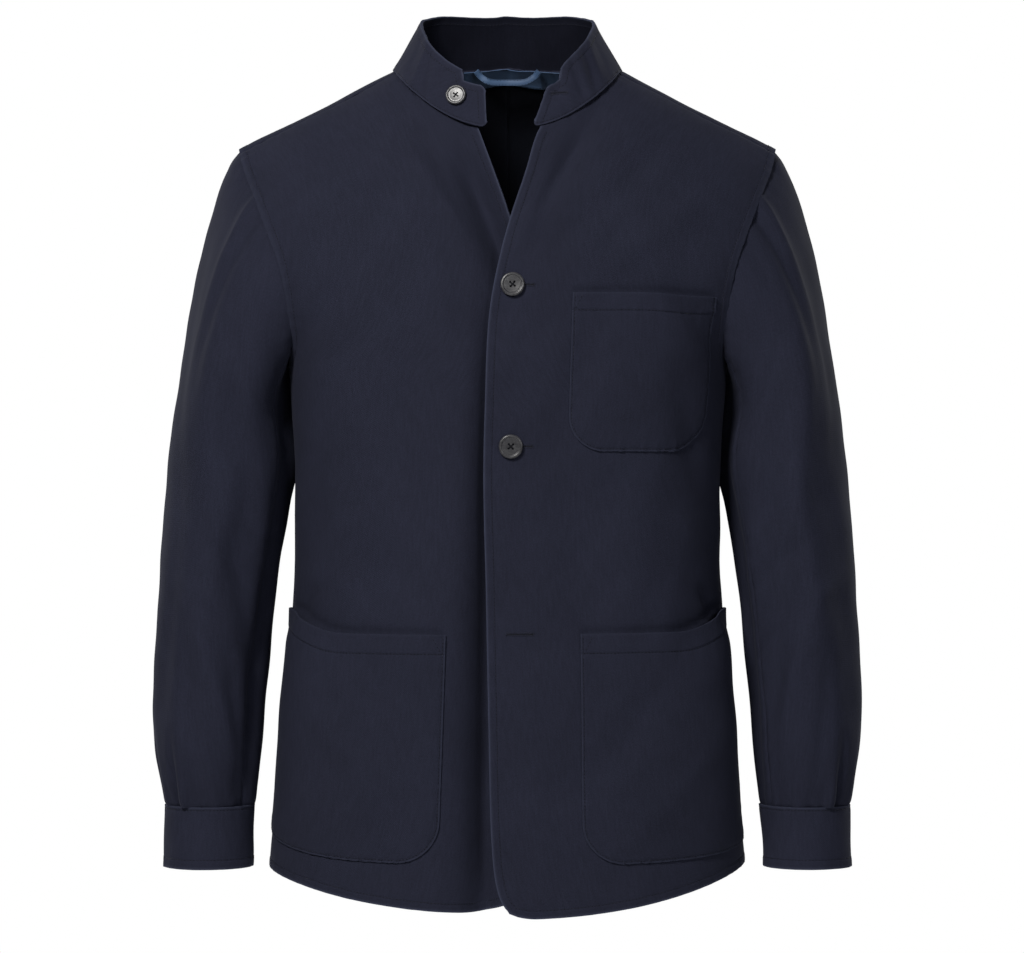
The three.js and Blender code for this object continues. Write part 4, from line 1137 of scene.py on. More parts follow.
def sleeveGrid(cells, downs, falls, creases):
    cells = np.where(cells > armholeCells, cells - 2 * armholeCells, cells)
    isFront = cells >= 0
    share = np.abs(cells) / armholeCells
    angle, run = armholePlace(share, 1, isFront)
    seam, normal = bodyPoint(angle, run), bodyNormal(angle, run)
    before = bodyPoint(*armholePlace(np.maximum(share - 0.02, 0), 1, isFront))
    after = bodyPoint(*armholePlace(np.minimum(share + 0.02, 1), 1, isFront))
    away = unit(np.cross(after - before, normal))
    away = np.where(((share < 0.9) & (away[:, 0] < 0))[:, None], -away, away)
    under = ease(0.86, 0.98, share)[:, None]
    start = seam - away * sleeve["tuck"] * (1 - under)
    start = start + normal * mix(-sleeve["below"], sleeve["outside"], under)
    start[:, 2] += sleeve["underTuck"] * under[:, 0]
    turn = cells / armholeCells * math.pi
    slope = reading(sleeveHead, "turn", "slope", share * 180) * degree
    outward = np.stack([np.cos(slope), np.zeros_like(slope), -np.sin(slope)], -1)
    joint = ringPoint(sleeve["join"], turn)
    course = unit(ringPoint(sleeve["join"] + 4, turn) - joint)
    first = start + outward * reading(sleeveHead, "turn", "away", share * 180)[:, None]
    second = joint - course * reading(sleeveHead, "turn", "into", share * 180)[:, None]
    t = downs[:, None, None]
    head = (1 - t) ** 3 * start + 3 * (1 - t) ** 2 * t * first
    head = head + 3 * (1 - t) * t ** 2 * second + t ** 3 * joint
    points = np.concatenate([head, ringPoint(falls[:, None], turn[None, :])])
    out = np.stack([np.cos(turn), -np.sin(turn), np.zeros_like(turn)], -1)[None].repeat(len(points), 0)
    wide = np.broadcast_to(turn[None, :], points.shape[:2])
    fall = -points[..., 2]
    lift = pleatLift(wide, fall) + foldLift(creases, wide * sleeve["girth"], -fall) * ease(60, 110, fall)
    return points + out * lift[..., None], out


seamSteps = [0, 0.4, 1.0, 1.8, 3.0, 5.0]
sleeveSheets = {
    "upper": {"first": -7, "last": 8, "width": 282, "columns": 78},
    "under": {"first": 8, "last": 13, "width": 96, "columns": 22},
}
cuffSeamSteps = [8, 5.5, 4, 3, 2.2, 1.5, 0.9, 0.4, 0]


def sleeveSheet(sideName, side, part, sheet):
    dice = random.Random(41 if side > 0 else 67)
    creases = []
    for way, fall, length, width, depth, lean in sleeveCreases:  # the two sleeves fall a little differently
        creases.append((
            way + dice.uniform(-5, 5), -(fall + dice.uniform(-12, 12)), length * dice.uniform(0.88, 1.1),
            width, depth * dice.uniform(0.75, 1.15), lean + dice.uniform(-3, 3),
        ))
    share = sharesFor(sheet["width"], seamSteps, seamSteps, sheet["columns"])[0]
    cells = mix(sheet["first"], sheet["last"], share)
    downs = np.concatenate([[0, 0.002, 0.005, 0.01, 0.018, 0.03], np.linspace(0.045, 1, 66)])
    falls = np.concatenate([
        np.linspace(sleeve["join"], sleeve["end"] - 10, 96)[1:], sleeve["end"] - np.array(cuffSeamSteps),
    ])
    points, out = sleeveGrid(cells, downs, falls, creases)
    seed = (2 if side > 0 else 6) + (part == "under")
    fall = -points[..., 2]
    lift = unevenness(points[..., 0] + points[..., 1], points[..., 2], seed + 30, 0.4)
    turned = np.abs(np.arctan2(-out[..., 1], out[..., 0]))
    rest = np.exp(-(((turned - math.pi) / 0.4) ** 2)) * ease(222, 250, fall) * (1 - ease(330, 372, fall))
    lift += sleeve["rest"] * rest
    lift += seamRelief(points, points[:, 0], seed, (0.2, 9, 14), 1.3)[1]
    lift += seamRelief(points, points[:, -1], seed + 1, (0.2, 9, 13), 1.3)[1]
    toTop, alongTop = toLine(points, points[0])
    lift += pucker(toTop, alongTop, seed + 2, 0.42, 14, 12) * ease(1, 7, toTop)
    pit = np.exp(-(((turned * sleeve["girth"] - 126) / 13) ** 2))
    pit = pit * ease(205, 235, fall) * (1 - ease(285, 330, fall))
    lift -= sleeve["pit"] * pit * ease(3, 26, toTop)
    toFoot, alongFoot = toLine(points, points[-1])
    lift += pucker(toFoot, alongFoot, seed + 3, 0.5, 15, 15) + seamDip(toFoot, sleeve["footDip"], 2.4)
    normals = gridNormals(points, out)
    points = points + normals * lift[..., None]
    mirror = np.array([side, 1, 1])
    points, out = points * mirror, out * mirror
    normals = gridNormals(points, out)
    name = "sleeve_" + sideName + "_" + part
    clothPiece(name, points, normals, thickness["sleeve"], rim=0.35)


for sideName, side in (("left", 1), ("right", -1)):
    for part, sheet in sleeveSheets.items():
        sleeveSheet(sideName, side, part, sheet)

# Cuffs

print("cuffs")
cuff = {
    "top": -627.6, "bottom": -680, "bottomX": 255, "bottomY": -31, "half": 37.4, "halfBottom": 36.4,
    "depth": 36.8, "depthBottom": 35.8, "start": -124, "degrees": 36, "lift": 1.6, "ramp": 0.05,
    "topStitch": 2.6, "footStitch": 8, "endStitch": 5,
}


def cuffPoint(share, down):
    turn = (cuff["start"] + share * (360 + cuff["degrees"])) * degree
    part = cuff["degrees"] / (360 + cuff["degrees"])
    over = ease(1 - part - cuff["ramp"], 1 - part, share)
    below = 1 - ease(part, part + cuff["ramp"], share)
    lift = cuff["lift"] * (over - below)
    half = mix(cuff["half"], cuff["halfBottom"], down) + lift
    depth = mix(cuff["depth"], cuff["depthBottom"], down) + lift
    topX = reading(sleeveRings, "fall", "x", sleeve["end"])
    topY = reading(sleeveRings, "fall", "y", sleeve["end"])
    out = np.stack([np.cos(turn), -np.sin(turn), np.zeros_like(turn)], -1)
    return np.stack([
        mix(topX, cuff["bottomX"], down) + half * np.cos(turn),
        mix(topY, cuff["bottomY"], down) - depth * np.sin(turn),
        mix(cuff["top"], cuff["bottom"], down),
    ], -1), out


def makeCuff(sideName, side):
    across = sharesFor(264, edgeSteps[:9], edgeSteps[:9], 78)[0]
    topSteps = [0, 0.35, 0.9, 1.6, 2.1, 2.6, 3.1, 3.8, 5]
    down = sharesFor(cuff["top"] - cuff["bottom"], topSteps, edgeSteps, 9)[0]
    across, down = np.meshgrid(across, down)
    points, out = cuffPoint(across, down)
    seed = 50 + side
    toTop, lift = edgeRelief(points, points[0], cuff["topStitch"], seed, (0.22, 9, 12), 0.3, 0)
    toFoot, relief = edgeRelief(points, points[-1], cuff["footStitch"], seed + 1, (0.2, 12, 13), height=0.3)
    lift += relief
    lift += unevenness(points[..., 0] + points[..., 1] * 1.3, points[..., 2], seed, 0.5)
    for column in (0, -1):
        lift += groove(toLine(points, points[:, column])[0], cuff["endStitch"], 0.25)
    # pale edges: painted highlight along the top and the foot, with some wear
    wearAndHighlight = 0.5 * np.exp(-((toFoot / 1.4) ** 2)) + 0.3 * np.exp(-((toTop / 1.1) ** 2))
    points = points + out * lift[..., None]
    mirror = np.array([side, 1, 1])
    points, out = points * mirror, out * mirror
    normals = gridNormals(points, out)
    name = "cuff_" + sideName
    clothPiece(name, points, normals, thickness["cuff"], wearAndHighlight, 0.6)
    half, end = thickness["cuff"] / 2, cuff["endStitch"]
    sewInside("cuffs", points[0], points, normals, cuff["topStitch"], half, 2, 2)
    sewInside("cuffs", points[-1], points, normals, cuff["footStitch"], half, end, end)
    for column in (0, -1):
        sewInside("cuffs", points[:, column], points, normals, end, half, 3, cuff["footStitch"])


makeCuff("left", 1)
makeCuff("right", -1)

# Stand collar

print("collar")
collar = {
    "rightEnd": -169.6, "leftEnd": 167, "height": 45, "tabHeight": 36, "tabLength": 21, "stepLength": 2.4,
    "corner": 5, "stand": 2.1, "overlap": 1.0, "overlapBack": 3.4, "stitch": 6.2, "footStitch": 1.9,
}
collarLean = {
    "turn": [-170, -140, -90, -70, -40, 0, 40, 70, 90, 140, 168],
    "lean": [15, 19, 30, 28.6, 25.8, 24, 25.8, 28.6, 30, 19, 15],
    "tilt": [0.07, 0.03, 0, 0, 0, 0, 0, 0, 0, 0, -0.4],
    "higher": [0, 1, -1.5, 2.0, 3.2, -0.4, 3.2, 2.0, -1.5, 1, 0],
}
# Creases of the collar: way along from the nearer tab's end, height, length, half width, depth, lean.
collarCreases = [
    (48, 24, 44, 4.5, -1.0, 12),
    (58, 22, 48, 4.0, 0.9, 6),
    (70, 24, 46, 5.0, -1.1, 2),
    (80, 22, 44, 4.5, 0.8, -4),
    (96, 24, 40, 6.0, -0.7, -6),
    (34, 18, 30, 4.5, 0.5, 24),
    (120, 22, 40, 7.0, 0.5, 4),
]
collarTurns = np.linspace(collar["rightEnd"], collar["leftEnd"], 81)
collarAngles, collarRuns = neckPlace(math.pi - np.abs(collarTurns) * degree)
collarAngles = np.sign(collarTurns) * collarAngles
collarBase = bodyPoint(collarAngles, collarRuns)
collarBase = smoothLine(collarBase + bodyNormal(collarAngles, collarRuns) * collar["stand"])
collarSpan = lengthsAlong(collarBase)[-1]


def collarPoint(distance, level):
    share = np.clip(distance / collarSpan, 0, 1)
    base = lineAt(collarBase, share)
    step = 1.5 / collarSpan
    tangent = lineAt(collarBase, np.minimum(share + step, 1))
    tangent = tangent - lineAt(collarBase, np.maximum(share - step, 0))
    tangent[..., 2] = 0
    tangent = unit(tangent)
    inward = np.stack([tangent[..., 1], -tangent[..., 0], np.zeros_like(share)], -1)
    turn = mix(collar["rightEnd"], collar["leftEnd"], share)
    lean = reading(collarLean, "turn", "lean", turn)[..., None] * degree
    tilt = reading(collarLean, "turn", "tilt", turn)[..., None]
    fromEnd = np.minimum(distance, collarSpan - distance)
    corner = collar["corner"]
    rounding = corner - np.sqrt(np.maximum(corner ** 2 - (corner - np.minimum(fromEnd, corner)) ** 2, 0))
    high = mix(
        collar["tabHeight"], collar["height"] + reading(collarLean, "turn", "higher", turn),
        ease(collar["tabLength"], collar["tabLength"] + collar["stepLength"], fromEnd),
    )
    overlap = mix(collar["overlapBack"], collar["overlap"], ease(70, 130, np.abs(turn)))
    rise = mix(rounding - overlap, high - rounding, level)[..., None]
    up = np.array([0, 0, 1]) * np.cos(lean) + inward * np.sin(lean)
    out = np.array([0, 0, 1]) * np.sin(lean) - inward * np.cos(lean)
    return base + up * rise + tangent * tilt * rise, out


def makeCollar():
    tab = np.array([0, 0.3, 0.8, 1.5, 2.4, 3.6, 4.6, 5.3, 6, 6.7, 7.6, 9.2, 11.5, 14, 16.5, 18.5, 20])
    stepTab = collar["tabLength"] + np.linspace(0, collar["stepLength"], 9)
    near = np.concatenate([tab, stepTab, [24.5, 25.6, 27.5]])
    middle = np.linspace(near[-1], collarSpan - near[-1], 182)[1:-1]
    distances = np.concatenate([near, middle, collarSpan - near[::-1]])
    footSteps = [0, 0.35, 0.9, 1.4, 1.9, 2.4, 3.2, 4.6]
    topSteps = [0, 0.3, 0.8, 1.5, 2.6, 4, 5.0, 5.6, 6.2, 6.8, 7.5, 9]
    levels = sharesFor(collar["height"], footSteps, topSteps, 9)[0]
    across, level = np.meshgrid(distances, levels)
    points, out = collarPoint(across, level)
    points, out = points[::-1], out[::-1]
    fromEnd = np.minimum(across, collarSpan - across)[::-1]
    high = (level * collar["height"])[::-1]
    outline = np.vstack([points[::-1, 0], points[0], points[:, -1]])
    toOutline, lift = edgeRelief(points, outline, collar["stitch"], 71, (0.16, 11, 11), 0.3, 0.25)
    toFoot, relief = edgeRelief(points, points[-1], collar["footStitch"], 77, (0.2, 10, 12), 0.28, 0)
    lift += relief
    lift += foldLift(collarCreases, fromEnd, high)
    lift += unevenness(across[::-1], high * 1.6, 79, 0.35)
    # pale edges: painted highlight along the outline and the foot, with some wear
    wearAndHighlight = 0.55 * np.exp(-((toOutline / 1.1) ** 2)) + 0.16 * np.exp(-((toFoot / 0.9) ** 2))
    points = points + out * lift[..., None]
    normals = gridNormals(points, out)
    wall = thickness["collar"]
    clothPiece("collar_stand", points, normals, wall, wearAndHighlight, 0.7, shadedCollarInside)
    outline = np.vstack([points[::-1, 0], points[0, 1:], points[1:, -1]])
    inner = sewInside("collar", outline, points, normals, collar["stitch"], wall / 2, 1, 1)
    stitchRuns["collar"].append(inner)
    sewInside("collar", points[-1], points, normals, collar["footStitch"], wall / 2, 5, 5)


makeCollar()

# Patch pockets

print("pockets")


def makePocket(name, pocket):
    reach = abs(pocket["foot"] - pocket["mouth"])
    straight = reach - pocket["corner"]
    nearTop = np.array([0, 0.3, 0.8, 1.6, 3, 5, 8, 11])
    hem = pocket["hem"] + np.array([-2.2, -1.3, -0.6, 0, 0.6, 1.3, 2.4])
    body = np.linspace(hem[-1], straight, round((straight - hem[-1]) / pocket["cell"]) + 1)[1:]
    rounded = straight + pocket["corner"] * np.sin(np.linspace(0, math.pi / 2, 22))[1:]
    downs = np.concatenate([nearTop, hem, body, rounded]) / reach
    width = 118 if name == "pocket_chest" else 140
    steps = [0, 0.3, 0.8, 1.4, 2.0, 2.6, 3.4, 5]
    acrosses = sharesFor(width, steps, steps, round((width - 10) / pocket["cell"]))[0]
    across, down = np.meshgrid(acrosses, downs)
    piece = "left" if pocket["side"] > 0 else "right"
    angle, run = pocketPlace(pocket, across, down)
    flatPoints, normals = clothPoint(piece, angle, run)
    top = pocket["bellyAt"]
    swell = np.where(across < top, across / top, (1 - across) / (1 - top))
    belly = pocket["belly"] * ease(0, 1, swell) * (1 - down ** 2.2)
    outline = np.vstack([flatPoints[:, 0], flatPoints[-1], flatPoints[::-1, -1]])
    toEdge, alongEdge = toLine(flatPoints, outline)
    toMouth, alongMouth = toLine(flatPoints, flatPoints[0])
    x, z = flatPoints[..., 0], flatPoints[..., 2]
    lift = (thickness["body"] + thickness["pocket"]) / 2 + 0.1 + belly
    if pocket["outerAngle"]:
        lift = lift - 0.8 * ease(0.9, 1, across)  # caught in the side seam
    lift = lift + pocketPuff * (1 - np.exp(-toEdge / 5)) + unevenness(x, z, pocket["seed"])
    lift += groove(toEdge, pocketStitch, 0.45, 0.8)
    lift += pucker(toEdge, alongEdge, pocket["seed"] + 60, 0.24, 9, 10)
    lift += groove(toMouth, pocket["hem"], 0.55, 0.9) + band(toMouth, pocket["hem"], 0.45)
    lift += pucker(toMouth - pocket["hem"], alongMouth, pocket["seed"] + 63, 0.16, 8, 12)
    lift += unevenness(x, z, pocket["seed"] + 91, 0.4) * ease(4, 24, toEdge)
    # pale edges: painted highlight along the outline and the mouth, with some wear
    wearAndHighlight = 0.22 * np.exp(-((toEdge / 0.9) ** 2)) + 0.1 * np.exp(-((toMouth / 1.1) ** 2))
    points = flatPoints + normals * lift[..., None]
    normals = gridNormals(points, normals)
    clothPiece(name, points, normals, thickness["pocket"], wearAndHighlight)
    half = thickness["pocket"] / 2
    outline = np.vstack([points[:, 0], points[-1, 1:-1], points[::-1, -1]])
    sewInside("pockets", outline, points, normals, pocketStitch, half, 1, 1)
    sewInside("pockets", points[0], points, normals, pocket["hem"], half, pocketStitch, pocketStitch)
    tacks(name, pocket, points, normals, acrosses, downs * reach, width)


# The slanted row of stitches that strengthens each corner of a mouth.
def tacks(name, pocket, points, normals, acrosses, depths, width):
    ends = ((7 / width, 2 / width), (1 - 7 / width, 1 - 2 / width))
    for high, low in ends if name == "pocket_chest" else ends[:1]:
        share = np.linspace(0, 1, 24)
        column = np.interp(mix(high, low, share), acrosses, np.arange(len(acrosses)))
        row = np.interp(mix(1.5, pocket["hem"], share), depths, np.arange(len(depths)))
        nearColumn, nearRow = np.floor(column).astype(int), np.floor(row).astype(int)
        partColumn, partRow = (column - nearColumn)[:, None], (row - nearRow)[:, None]

        def between(field):
            topPart = mix(field[nearRow, nearColumn], field[nearRow, nearColumn + 1], partColumn)
            lowPart = mix(field[nearRow + 1, nearColumn], field[nearRow + 1, nearColumn + 1], partColumn)
            return mix(topPart, lowPart, partRow)

        line = between(points) + unit(between(normals)) * thickness["pocket"] / 2
        stitchRuns["pockets"].append((line, unit(between(normals))))


for name, pocket in pockets.items():
    makePocket(name, pocket)

# Facing and hanger loop inside the neck

print("neck inside")
facing = {"share": 0.023, "cells": 4, "stitch": 1.6}
loop = {"width": 5, "standOff": 13, "behind": 2.1, "seat": 1.2, "forward": 3.4}
loopBends = [
    (-28, 5.5, 0), (-24, 1, 0.42), (-18, -3, 0.94), (-13, -4, 1), (0, -4, 1), (13, -4, 1), (18, -3, 0.94),
    (24, 1, 0.42), (28, 5.5, 0),
]


def makeFacing():
    lift = -(thickness["body"] + thickness["facing"]) / 2 - 0.35
    across = np.linspace(0, facing["cells"] / (backNeckCells + shoulderCells), 44)
    down = sharesFor(20, [0, 0.3, 0.8, 1.6], [0, 0.3, 0.8, 1.6, 2.4], 7)[0] * facing["share"]
    halves = []
    for side in (-1, 1):
        grid = patch(backPatch(side), *np.meshgrid(down, across, indexing="ij"))
        halves.append(clothPoint("back", grid[0], grid[1], lift, False))
    points = np.hstack([halves[0][0][:, :0:-1], halves[1][0]])
    normals = np.hstack([halves[0][1][:, :0:-1], halves[1][1]])
    x = points[..., 0]
    toFoot = toLine(points, points[-1])[0]
    ripple = 0.5 * np.sin(x / 4.7) * np.exp(-(((x - 4) / 26) ** 2)) + 0.35 * np.sin(x / 7.3 + 1)
    relief = ripple * ease(0, 6, toFoot) - groove(toFoot, facing["stitch"], 0.2)
    points = points - normals * relief[..., None]
    normals = -gridNormals(points, normals)
    wall = thickness["facing"]
    bluePiece("neck_facing", points, normals, wall, 0.25)
    sewInside("facing", points[-1], points, normals, facing["stitch"], wall / 2, 1, 1)


makeFacing()


def makeLoop():
    behind = loop["behind"] + loop["seat"]
    bends = np.array(loopBends, float)
    angle, run = bodyPlace(bends[:, 0], bends[:, 1], -1)
    centres = clothPoint("back", angle, run, -behind, False)[0]
    centres[:, 2] = bends[:, 1]
    centres[:, 1] -= loop["forward"] + bends[:, 2] * loop["standOff"]
    path = lineAt(smoothLine(centres), np.linspace(0, 1, 90))
    tangent = unit(np.gradient(path, axis=0))
    across = unit(np.cross(tangent, np.array([0, -1, 0])))
    normal = unit(np.cross(across, tangent))
    steps = np.array([-0.5, -0.46, -0.38, -0.2, 0, 0.2, 0.38, 0.46, 0.5]) * loop["width"]
    points = path[:, None] + across[:, None] * steps[None, :, None]
    crown = 0.35 * (1 - (steps / loop["width"] * 2) ** 2) + groove(np.abs(steps), 1.6, 0.25, 0.4)
    points = points + normal[:, None] * crown[None, :, None]
    normals = gridNormals(points, normal[:, None].repeat(len(steps), 1))
    bluePiece("hanger_loop", points, normals, thickness["loop"], 0.4)
    for line in (2, 6):
        lifted = points[:, line] + normals[:, line] * thickness["loop"] / 2
        stitchRuns.setdefault("loop", []).append((lifted, normals[:, line]))


makeLoop()

# Stitches

print("stitches")
for name in ("body", "cuffs", "collar", "pockets"):
    sewGroup(name, navyThread, "cloth")
for name in ("facing", "loop"):
    sewGroup(name, blueThread, "facing_cloth")

# Buttons

print("buttons")
# Share of the radius and of the thickness, from the middle of the back round to the dish.
buttonShape = [
    (0.0, 0.04), (0.55, 0.0), (0.82, 0.05), (0.95, 0.2), (1.0, 0.42), (1.0, 0.66), (0.975, 0.84),
    (0.93, 0.96), (0.87, 1.0), (0.81, 0.985), (0.775, 0.9), (0.755, 0.8), (0.735, 0.75), (0.70, 0.74), (0.66, 0.76),
    (0.60, 0.745), (0.45, 0.70), (0.25, 0.665), (0.0, 0.655),
]
buttonEyes = {"reach": 0.245, "radius": 0.092, "facets": 14}
buttonThread = {
    "strands": (-0.38, 0, 0.38), "thick": 0.42, "lean": 0.165, "dish": 0.665, "rise": 0.28, "cross": 0.12,
    "turns": 5,
}


def frameAt(place, out):
    side = np.cross([0, 0, 1], out)
    side = side / np.linalg.norm(side)
    up = np.cross(out, side)
    return Matrix((
        (side[0], up[0], out[0], place[0]),
        (side[1], up[1], out[1], place[1]),
        (side[2], up[2], out[2], place[2]),
        (0, 0, 0, 1),
    ))


def makeButton(name, radius, thick, place, out, turned, shank=1.2):
    disc = bmesh.new()
    ring = [disc.verts.new((across * radius, 0, up * thick)) for across, up in buttonShape]
    edges = [disc.edges.new(pair) for pair in zip(ring, ring[1:])]
    bmesh.ops.spin(
        disc, geom=ring + edges, cent=(0, 0, 0), axis=(0, 0, 1), angle=2 * math.pi, steps=56, use_merge=True,
    )
    bmesh.ops.remove_doubles(disc, verts=disc.verts, dist=0.002)
    bmesh.ops.recalc_face_normals(disc, faces=disc.faces)
    drills = bmesh.new()
    for quarter in range(4):
        turn = (quarter + 0.5) * math.pi / 2
        reach = buttonEyes["reach"] * radius
        spot = Matrix.Translation((reach * math.cos(turn), reach * math.sin(turn), thick / 2))
        bmesh.ops.create_cone(
            drills, cap_ends=True, segments=buttonEyes["facets"], radius1=buttonEyes["radius"] * radius,
            radius2=buttonEyes["radius"] * radius, depth=thick * 3, matrix=spot,
        )
    seat = frameAt(place, out) @ Matrix.Rotation(turned, 4, "Z")
    made = meshFrom("horn_" + name, disc, greyHorn)
    drill = meshFrom("drill", drills, greyHorn)
    cutter = made.modifiers.new("eyes", "BOOLEAN")
    cutter.operation = "DIFFERENCE"
    cutter.solver = "EXACT"
    cutter.object = drill
    bpy.context.view_layer.update()
    cut = bpy.data.meshes.new_from_object(made.evaluated_get(bpy.context.evaluated_depsgraph_get()))
    made.modifiers.clear()
    made.data = cut
    bpy.data.objects.remove(drill)
    cut.transform(Matrix.Scale(metre, 4) @ seat)
    cut.shade_smooth()
    cut.set_sharp_from_angle(angle=38 * degree)
    ridesAs(made, "horn", name)
    # thread crossed over the four eyes, and wound to a short shank behind
    cross = bmesh.new()
    reach = buttonEyes["reach"] * radius
    for quarter in (0, 1):
        turn = (quarter + 0.5) * math.pi / 2
        along = np.array([math.cos(turn), math.sin(turn), 0])
        across = np.array([-math.sin(turn), math.cos(turn), 0])
        high = thick * buttonThread["dish"] + buttonThread["rise"] + buttonThread["cross"] * quarter
        for strand in buttonThread["strands"]:
            for half in (-1, 1):
                spot = along * reach * 0.5 * half + across * strand + np.array([0, 0, high])
                course = unit(along * half - np.array([0, 0, buttonThread["lean"]]))
                up, wide = np.array([0, 0, 1.0]), buttonThread["thick"]
                stitchShape(cross, spot, course, up, reach * 1.16, wide, wide, 7, 6)
    for turnOf in range(buttonThread["turns"]):
        high = shank / buttonThread["turns"]
        ringMatrix = Matrix.Scale(metre, 4) @ Matrix.Translation((0, 0, -high * (turnOf + 0.5)))
        bmesh.ops.create_cone(
            cross, cap_ends=True, segments=12, radius1=1.0, radius2=1.15, depth=high * 0.9, matrix=ringMatrix,
        )
    for vertex in cross.verts:
        vertex.co = seat.to_3x3() @ vertex.co + Vector(place) * metre
    ridesAs(meshFrom("thread_" + name, cross, darkThreadAndShade), "cloth")


# Sews a button on: it stands off the surface by its seat.
def sewOn(name, kind, place, out, turned):
    kind = buttons[kind]
    makeButton(name, kind["radius"], kind["thick"], place + out * kind["seat"], out, turned)


buttons = {
    "front": {"radius": 10, "thick": 3.2, "seat": 1.3},
    "collar": {"radius": 8.6, "thick": 3.0, "seat": 1.7},
    "cuff": {"radius": 7.5, "thick": 2.6, "seat": 1.5},
}
frontButtonPlaces = [
    ("button_front_1", "front_left", 4.3, -190.5, 0.10),
    ("button_front_2", "front_left", 2.9, -324.2, -0.06),
    ("button_front_3", "front_right", 3.4, -479.2, 0.2),
]
for name, carrier, x, z, turned in frontButtonPlaces:
    place = onSurface(carrier, x, z)[0]
    sewOn(name, "front", place, bodyNormal(*bodyPlace(x, z, 1)), turned)


def collarSpot(x):
    low, high = (collarSpan * 0.75, collarSpan) if x > 0 else (0, collarSpan * 0.25)
    for _ in range(30):
        middle = (low + high) / 2
        if collarPoint(np.array([middle]), np.array([0.5]))[0][0, 0] > x:
            low = middle
        else:
            high = middle
    return low


def nearestOn(name, place):
    points, normals = surfaces[name]
    flat, flatNormals = points.reshape(-1, 3), normals.reshape(-1, 3)
    nearest = np.argsort(((flat - place) ** 2).sum(1))[:5]
    weight = (1 / (np.linalg.norm(flat[nearest] - place, axis=1) + 0.05))[:, None]
    base = (flat[nearest] * weight).sum(0) / weight.sum()
    normal = unit((flatNormals[nearest] * weight).sum(0))
    return place - normal * np.dot(place - base, normal), normal


collarDistance = collarSpot(-42.5)
spot = collarPoint(np.array([collarDistance]), np.array([0.44]))[0][0]
sewOn("button_collar", "collar", *nearestOn("collar_stand", spot), 0.15)


def cuffSpot(share, side):
    return cuffPoint(np.array([share]), np.array([0.5]))[0][0] * np.array([side, 1, 1])


cuffShare = 1 - cuff["degrees"] / (360 + cuff["degrees"]) * 0.5
for sideName, side in (("left", 1), ("right", -1)):
    seat = nearestOn("cuff_" + sideName, cuffSpot(cuffShare, side))
    sewOn("button_cuff_" + sideName, "cuff", *seat, 0.1 * side)

# Worked buttonholes

print("buttonholes")
holeShape = {
    "spacing": 0.62, "edge": 0.95, "stitch": 1.5, "thick": 0.5, "eyelet": 1.5, "eyeletAt": 0.6, "back": 3.5,
    "front": 16.5,
}


def makeButtonhole(name, surface, start, end, half):
    length = np.linalg.norm(end - start)
    stitches, slitShade = bmesh.new(), bmesh.new()
    count = int(length / holeShape["spacing"])
    dice = random.Random(int(length * 10))

    def seatOf(point, sign=1):
        spot, out = nearestOn(surface, point)
        along = (end - start) / length * sign
        along = unit(along - out * np.dot(along, out))
        return spot, out, along, np.cross(out, along)

    for index in range(count + 1):
        spot, out, along, side = seatOf(start + (end - start) * index / count)
        wide = holeShape["edge"] * (1 + dice.uniform(-0.08, 0.08))
        for way in (-1, 1):
            stitchShape(
                stitches, spot + side * way * wide + out * (half + 0.08), side, out,
                holeShape["stitch"], holeShape["thick"], 0.55,
            )
        if index < count:
            # a dark sliver along the cut: painted shade of the slit
            middle = spot + along * holeShape["spacing"] / 2 + out * (half - 0.02)
            stitchShape(slitShade, middle, along, out, 1.3, 0.75, 0.3, 5, 3)
    # a bar of stitches at the start, an eyelet at the end
    spot, out, along, side = seatOf(start, -1)
    for strand in (-0.5, 0, 0.5):
        middle = spot + along * (0.5 + strand) + out * (half + 0.14)
        stitchShape(stitches, middle, side, out, 3.1, 0.55, 0.6)
    spot, out, along, side = seatOf(end)
    spot = spot + along * holeShape["eyeletAt"]
    for turnOf in range(-5, 6):
        turn = turnOf * 28 * degree
        ray = along * math.cos(turn) + side * math.sin(turn)
        middle = spot + ray * holeShape["eyelet"] + out * (half + 0.1)
        stitchShape(stitches, middle, ray, out, 1.25, 0.5, 0.55)
    # a dark patch at the eyelet: painted shade of its opening
    stitchShape(slitShade, spot + out * (half - 0.02), along, out, 1.7, 1.6, 0.3, 8, 4)
    ridesAs(meshFrom("buttonhole_" + name, stitches, navyThread), "cloth")
    ridesAs(meshFrom("slit_" + name, slitShade, darkThreadAndShade), "cloth")


for name, _, x, z, _ in frontButtonPlaces:
    start = onSurface("front_left", x - holeShape["back"], z)[0]
    end = onSurface("front_left", x + holeShape["front"], z)[0]
    makeButtonhole(name.replace("button_", ""), "front_left", start, end, thickness["body"] / 2)


def onCollar(x, z):
    points = surfaces["collar_stand"][0].reshape(-1, 3)
    points = points[points[:, 1] < -20]
    nearest = np.argsort((points[:, 0] - x) ** 2 + (points[:, 2] - z) ** 2)[:4]
    return np.array([x, points[nearest, 1].mean(), z])


start, end = onCollar(49.6, -26.8), onCollar(37.6, -27.8)
makeButtonhole("collar", "collar_stand", start, end, thickness["collar"] / 2)
for sideName, side in (("left", 1), ("right", -1)):
    start, end = cuffSpot(cuffShare - 0.032, side), cuffSpot(cuffShare + 0.0288, side)
    makeButtonhole("cuff_" + sideName, "cuff_" + sideName, start, end, thickness["cuff"] / 2)

# Floor, light and camera

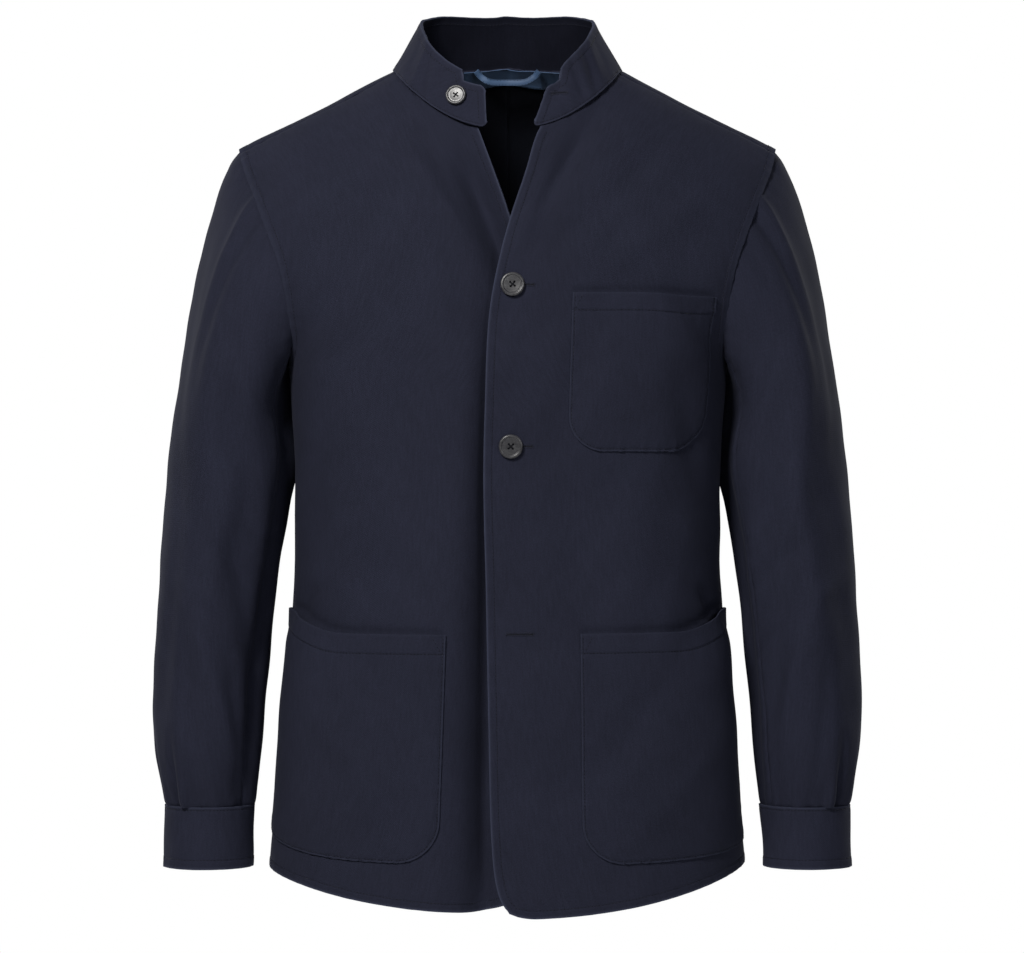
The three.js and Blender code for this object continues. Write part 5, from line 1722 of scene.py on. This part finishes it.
print("studio")
studio = {
    "floorZ": -1.5, "floorRadius": 2.4, "room": 0.05, "backdrop": 1.0,
    "distance": 3.0, "cameraX": 0.0039, "cameraZ": -0.349, "lens": 122.6,
}
disc = bmesh.new()
bmesh.ops.create_circle(disc, cap_ends=True, segments=96, radius=studio["floorRadius"])
bmesh.ops.translate(disc, verts=disc.verts, vec=(0, 0, studio["floorZ"]))
floorMaterial, tree, shader = newMaterial("paleFloor")
shader.inputs["Base Color"].default_value = (0.86, 0.86, 0.87, 1)
shader.inputs["Roughness"].default_value = 0.7
floor = meshFrom("floor", disc, floorMaterial, False)

world = bpy.data.worlds.new("studio")
world.use_nodes = True
sky = world.node_tree
direction = sky.nodes.new("ShaderNodeTexCoord")
parts = sky.nodes.new("ShaderNodeSeparateXYZ")
backdrop = sky.nodes.new("ShaderNodeMapRange")  # white behind the garment, dimmer elsewhere
backdrop.inputs["From Min"].default_value = 0.86
backdrop.inputs["From Max"].default_value = 0.955
backdrop.inputs["To Min"].default_value = studio["room"]
backdrop.inputs["To Max"].default_value = studio["backdrop"]
sky.links.new(direction.outputs["Generated"], parts.inputs["Vector"])
sky.links.new(parts.outputs["Y"], backdrop.inputs["Value"])
rays = sky.nodes.new("ShaderNodeLightPath")  # seen directly, the room is white all round
seen = sky.nodes.new("ShaderNodeMath")
seen.operation = "MAXIMUM"
sky.links.new(backdrop.outputs["Result"], seen.inputs[0])
sky.links.new(rays.outputs["Is Camera Ray"], seen.inputs[1])
sky.links.new(seen.outputs[0], sky.nodes["Background"].inputs["Strength"])
sky.nodes["Background"].inputs["Color"].default_value = (1, 1, 1, 1)
bpy.context.scene.world = world

lamps = [  # name, place, size, power, colour
    ("softboxKey", (-1.1, -2.2, 1.4), 0.7, 98, (1.0, 0.985, 0.96)),
    ("softboxFill", (1.3, -2.65, 0.35), 0.9, 19, (0.97, 0.985, 1.0)),
    ("softboxBackLeft", (2.1, 1.7, 0.6), 1.0, 40, (1.0, 1.0, 1.0)),
    ("softboxBackRight", (-2.1, 1.7, 0.6), 1.0, 34, (1.0, 1.0, 1.0)),
]
for name, place, size, power, colour in lamps:
    light = bpy.data.lights.new(name, "AREA")
    light.shape = "SQUARE"
    light.size = size
    light.energy = power
    light.color = colour
    lamp = bpy.data.objects.new(name, light)
    bpy.context.scene.collection.objects.link(lamp)
    lamp.location = place
    lamp.rotation_euler = (Vector((0, 0, -0.3)) - Vector(place)).to_track_quat("-Z", "Y").to_euler()

cameraData = bpy.data.cameras.new("camera")
cameraData.lens = studio["lens"]
cameraData.sensor_width = 36
cameraData.clip_start = 0.05
cameraData.clip_end = 30
camera = bpy.data.objects.new("camera", cameraData)
bpy.context.scene.collection.objects.link(camera)
camera.location = (studio["cameraX"], -studio["distance"], studio["cameraZ"])
camera.rotation_euler = (math.pi / 2, 0, 0)
bpy.context.scene.camera = camera
bpy.context.scene.view_settings.view_transform = "Standard"
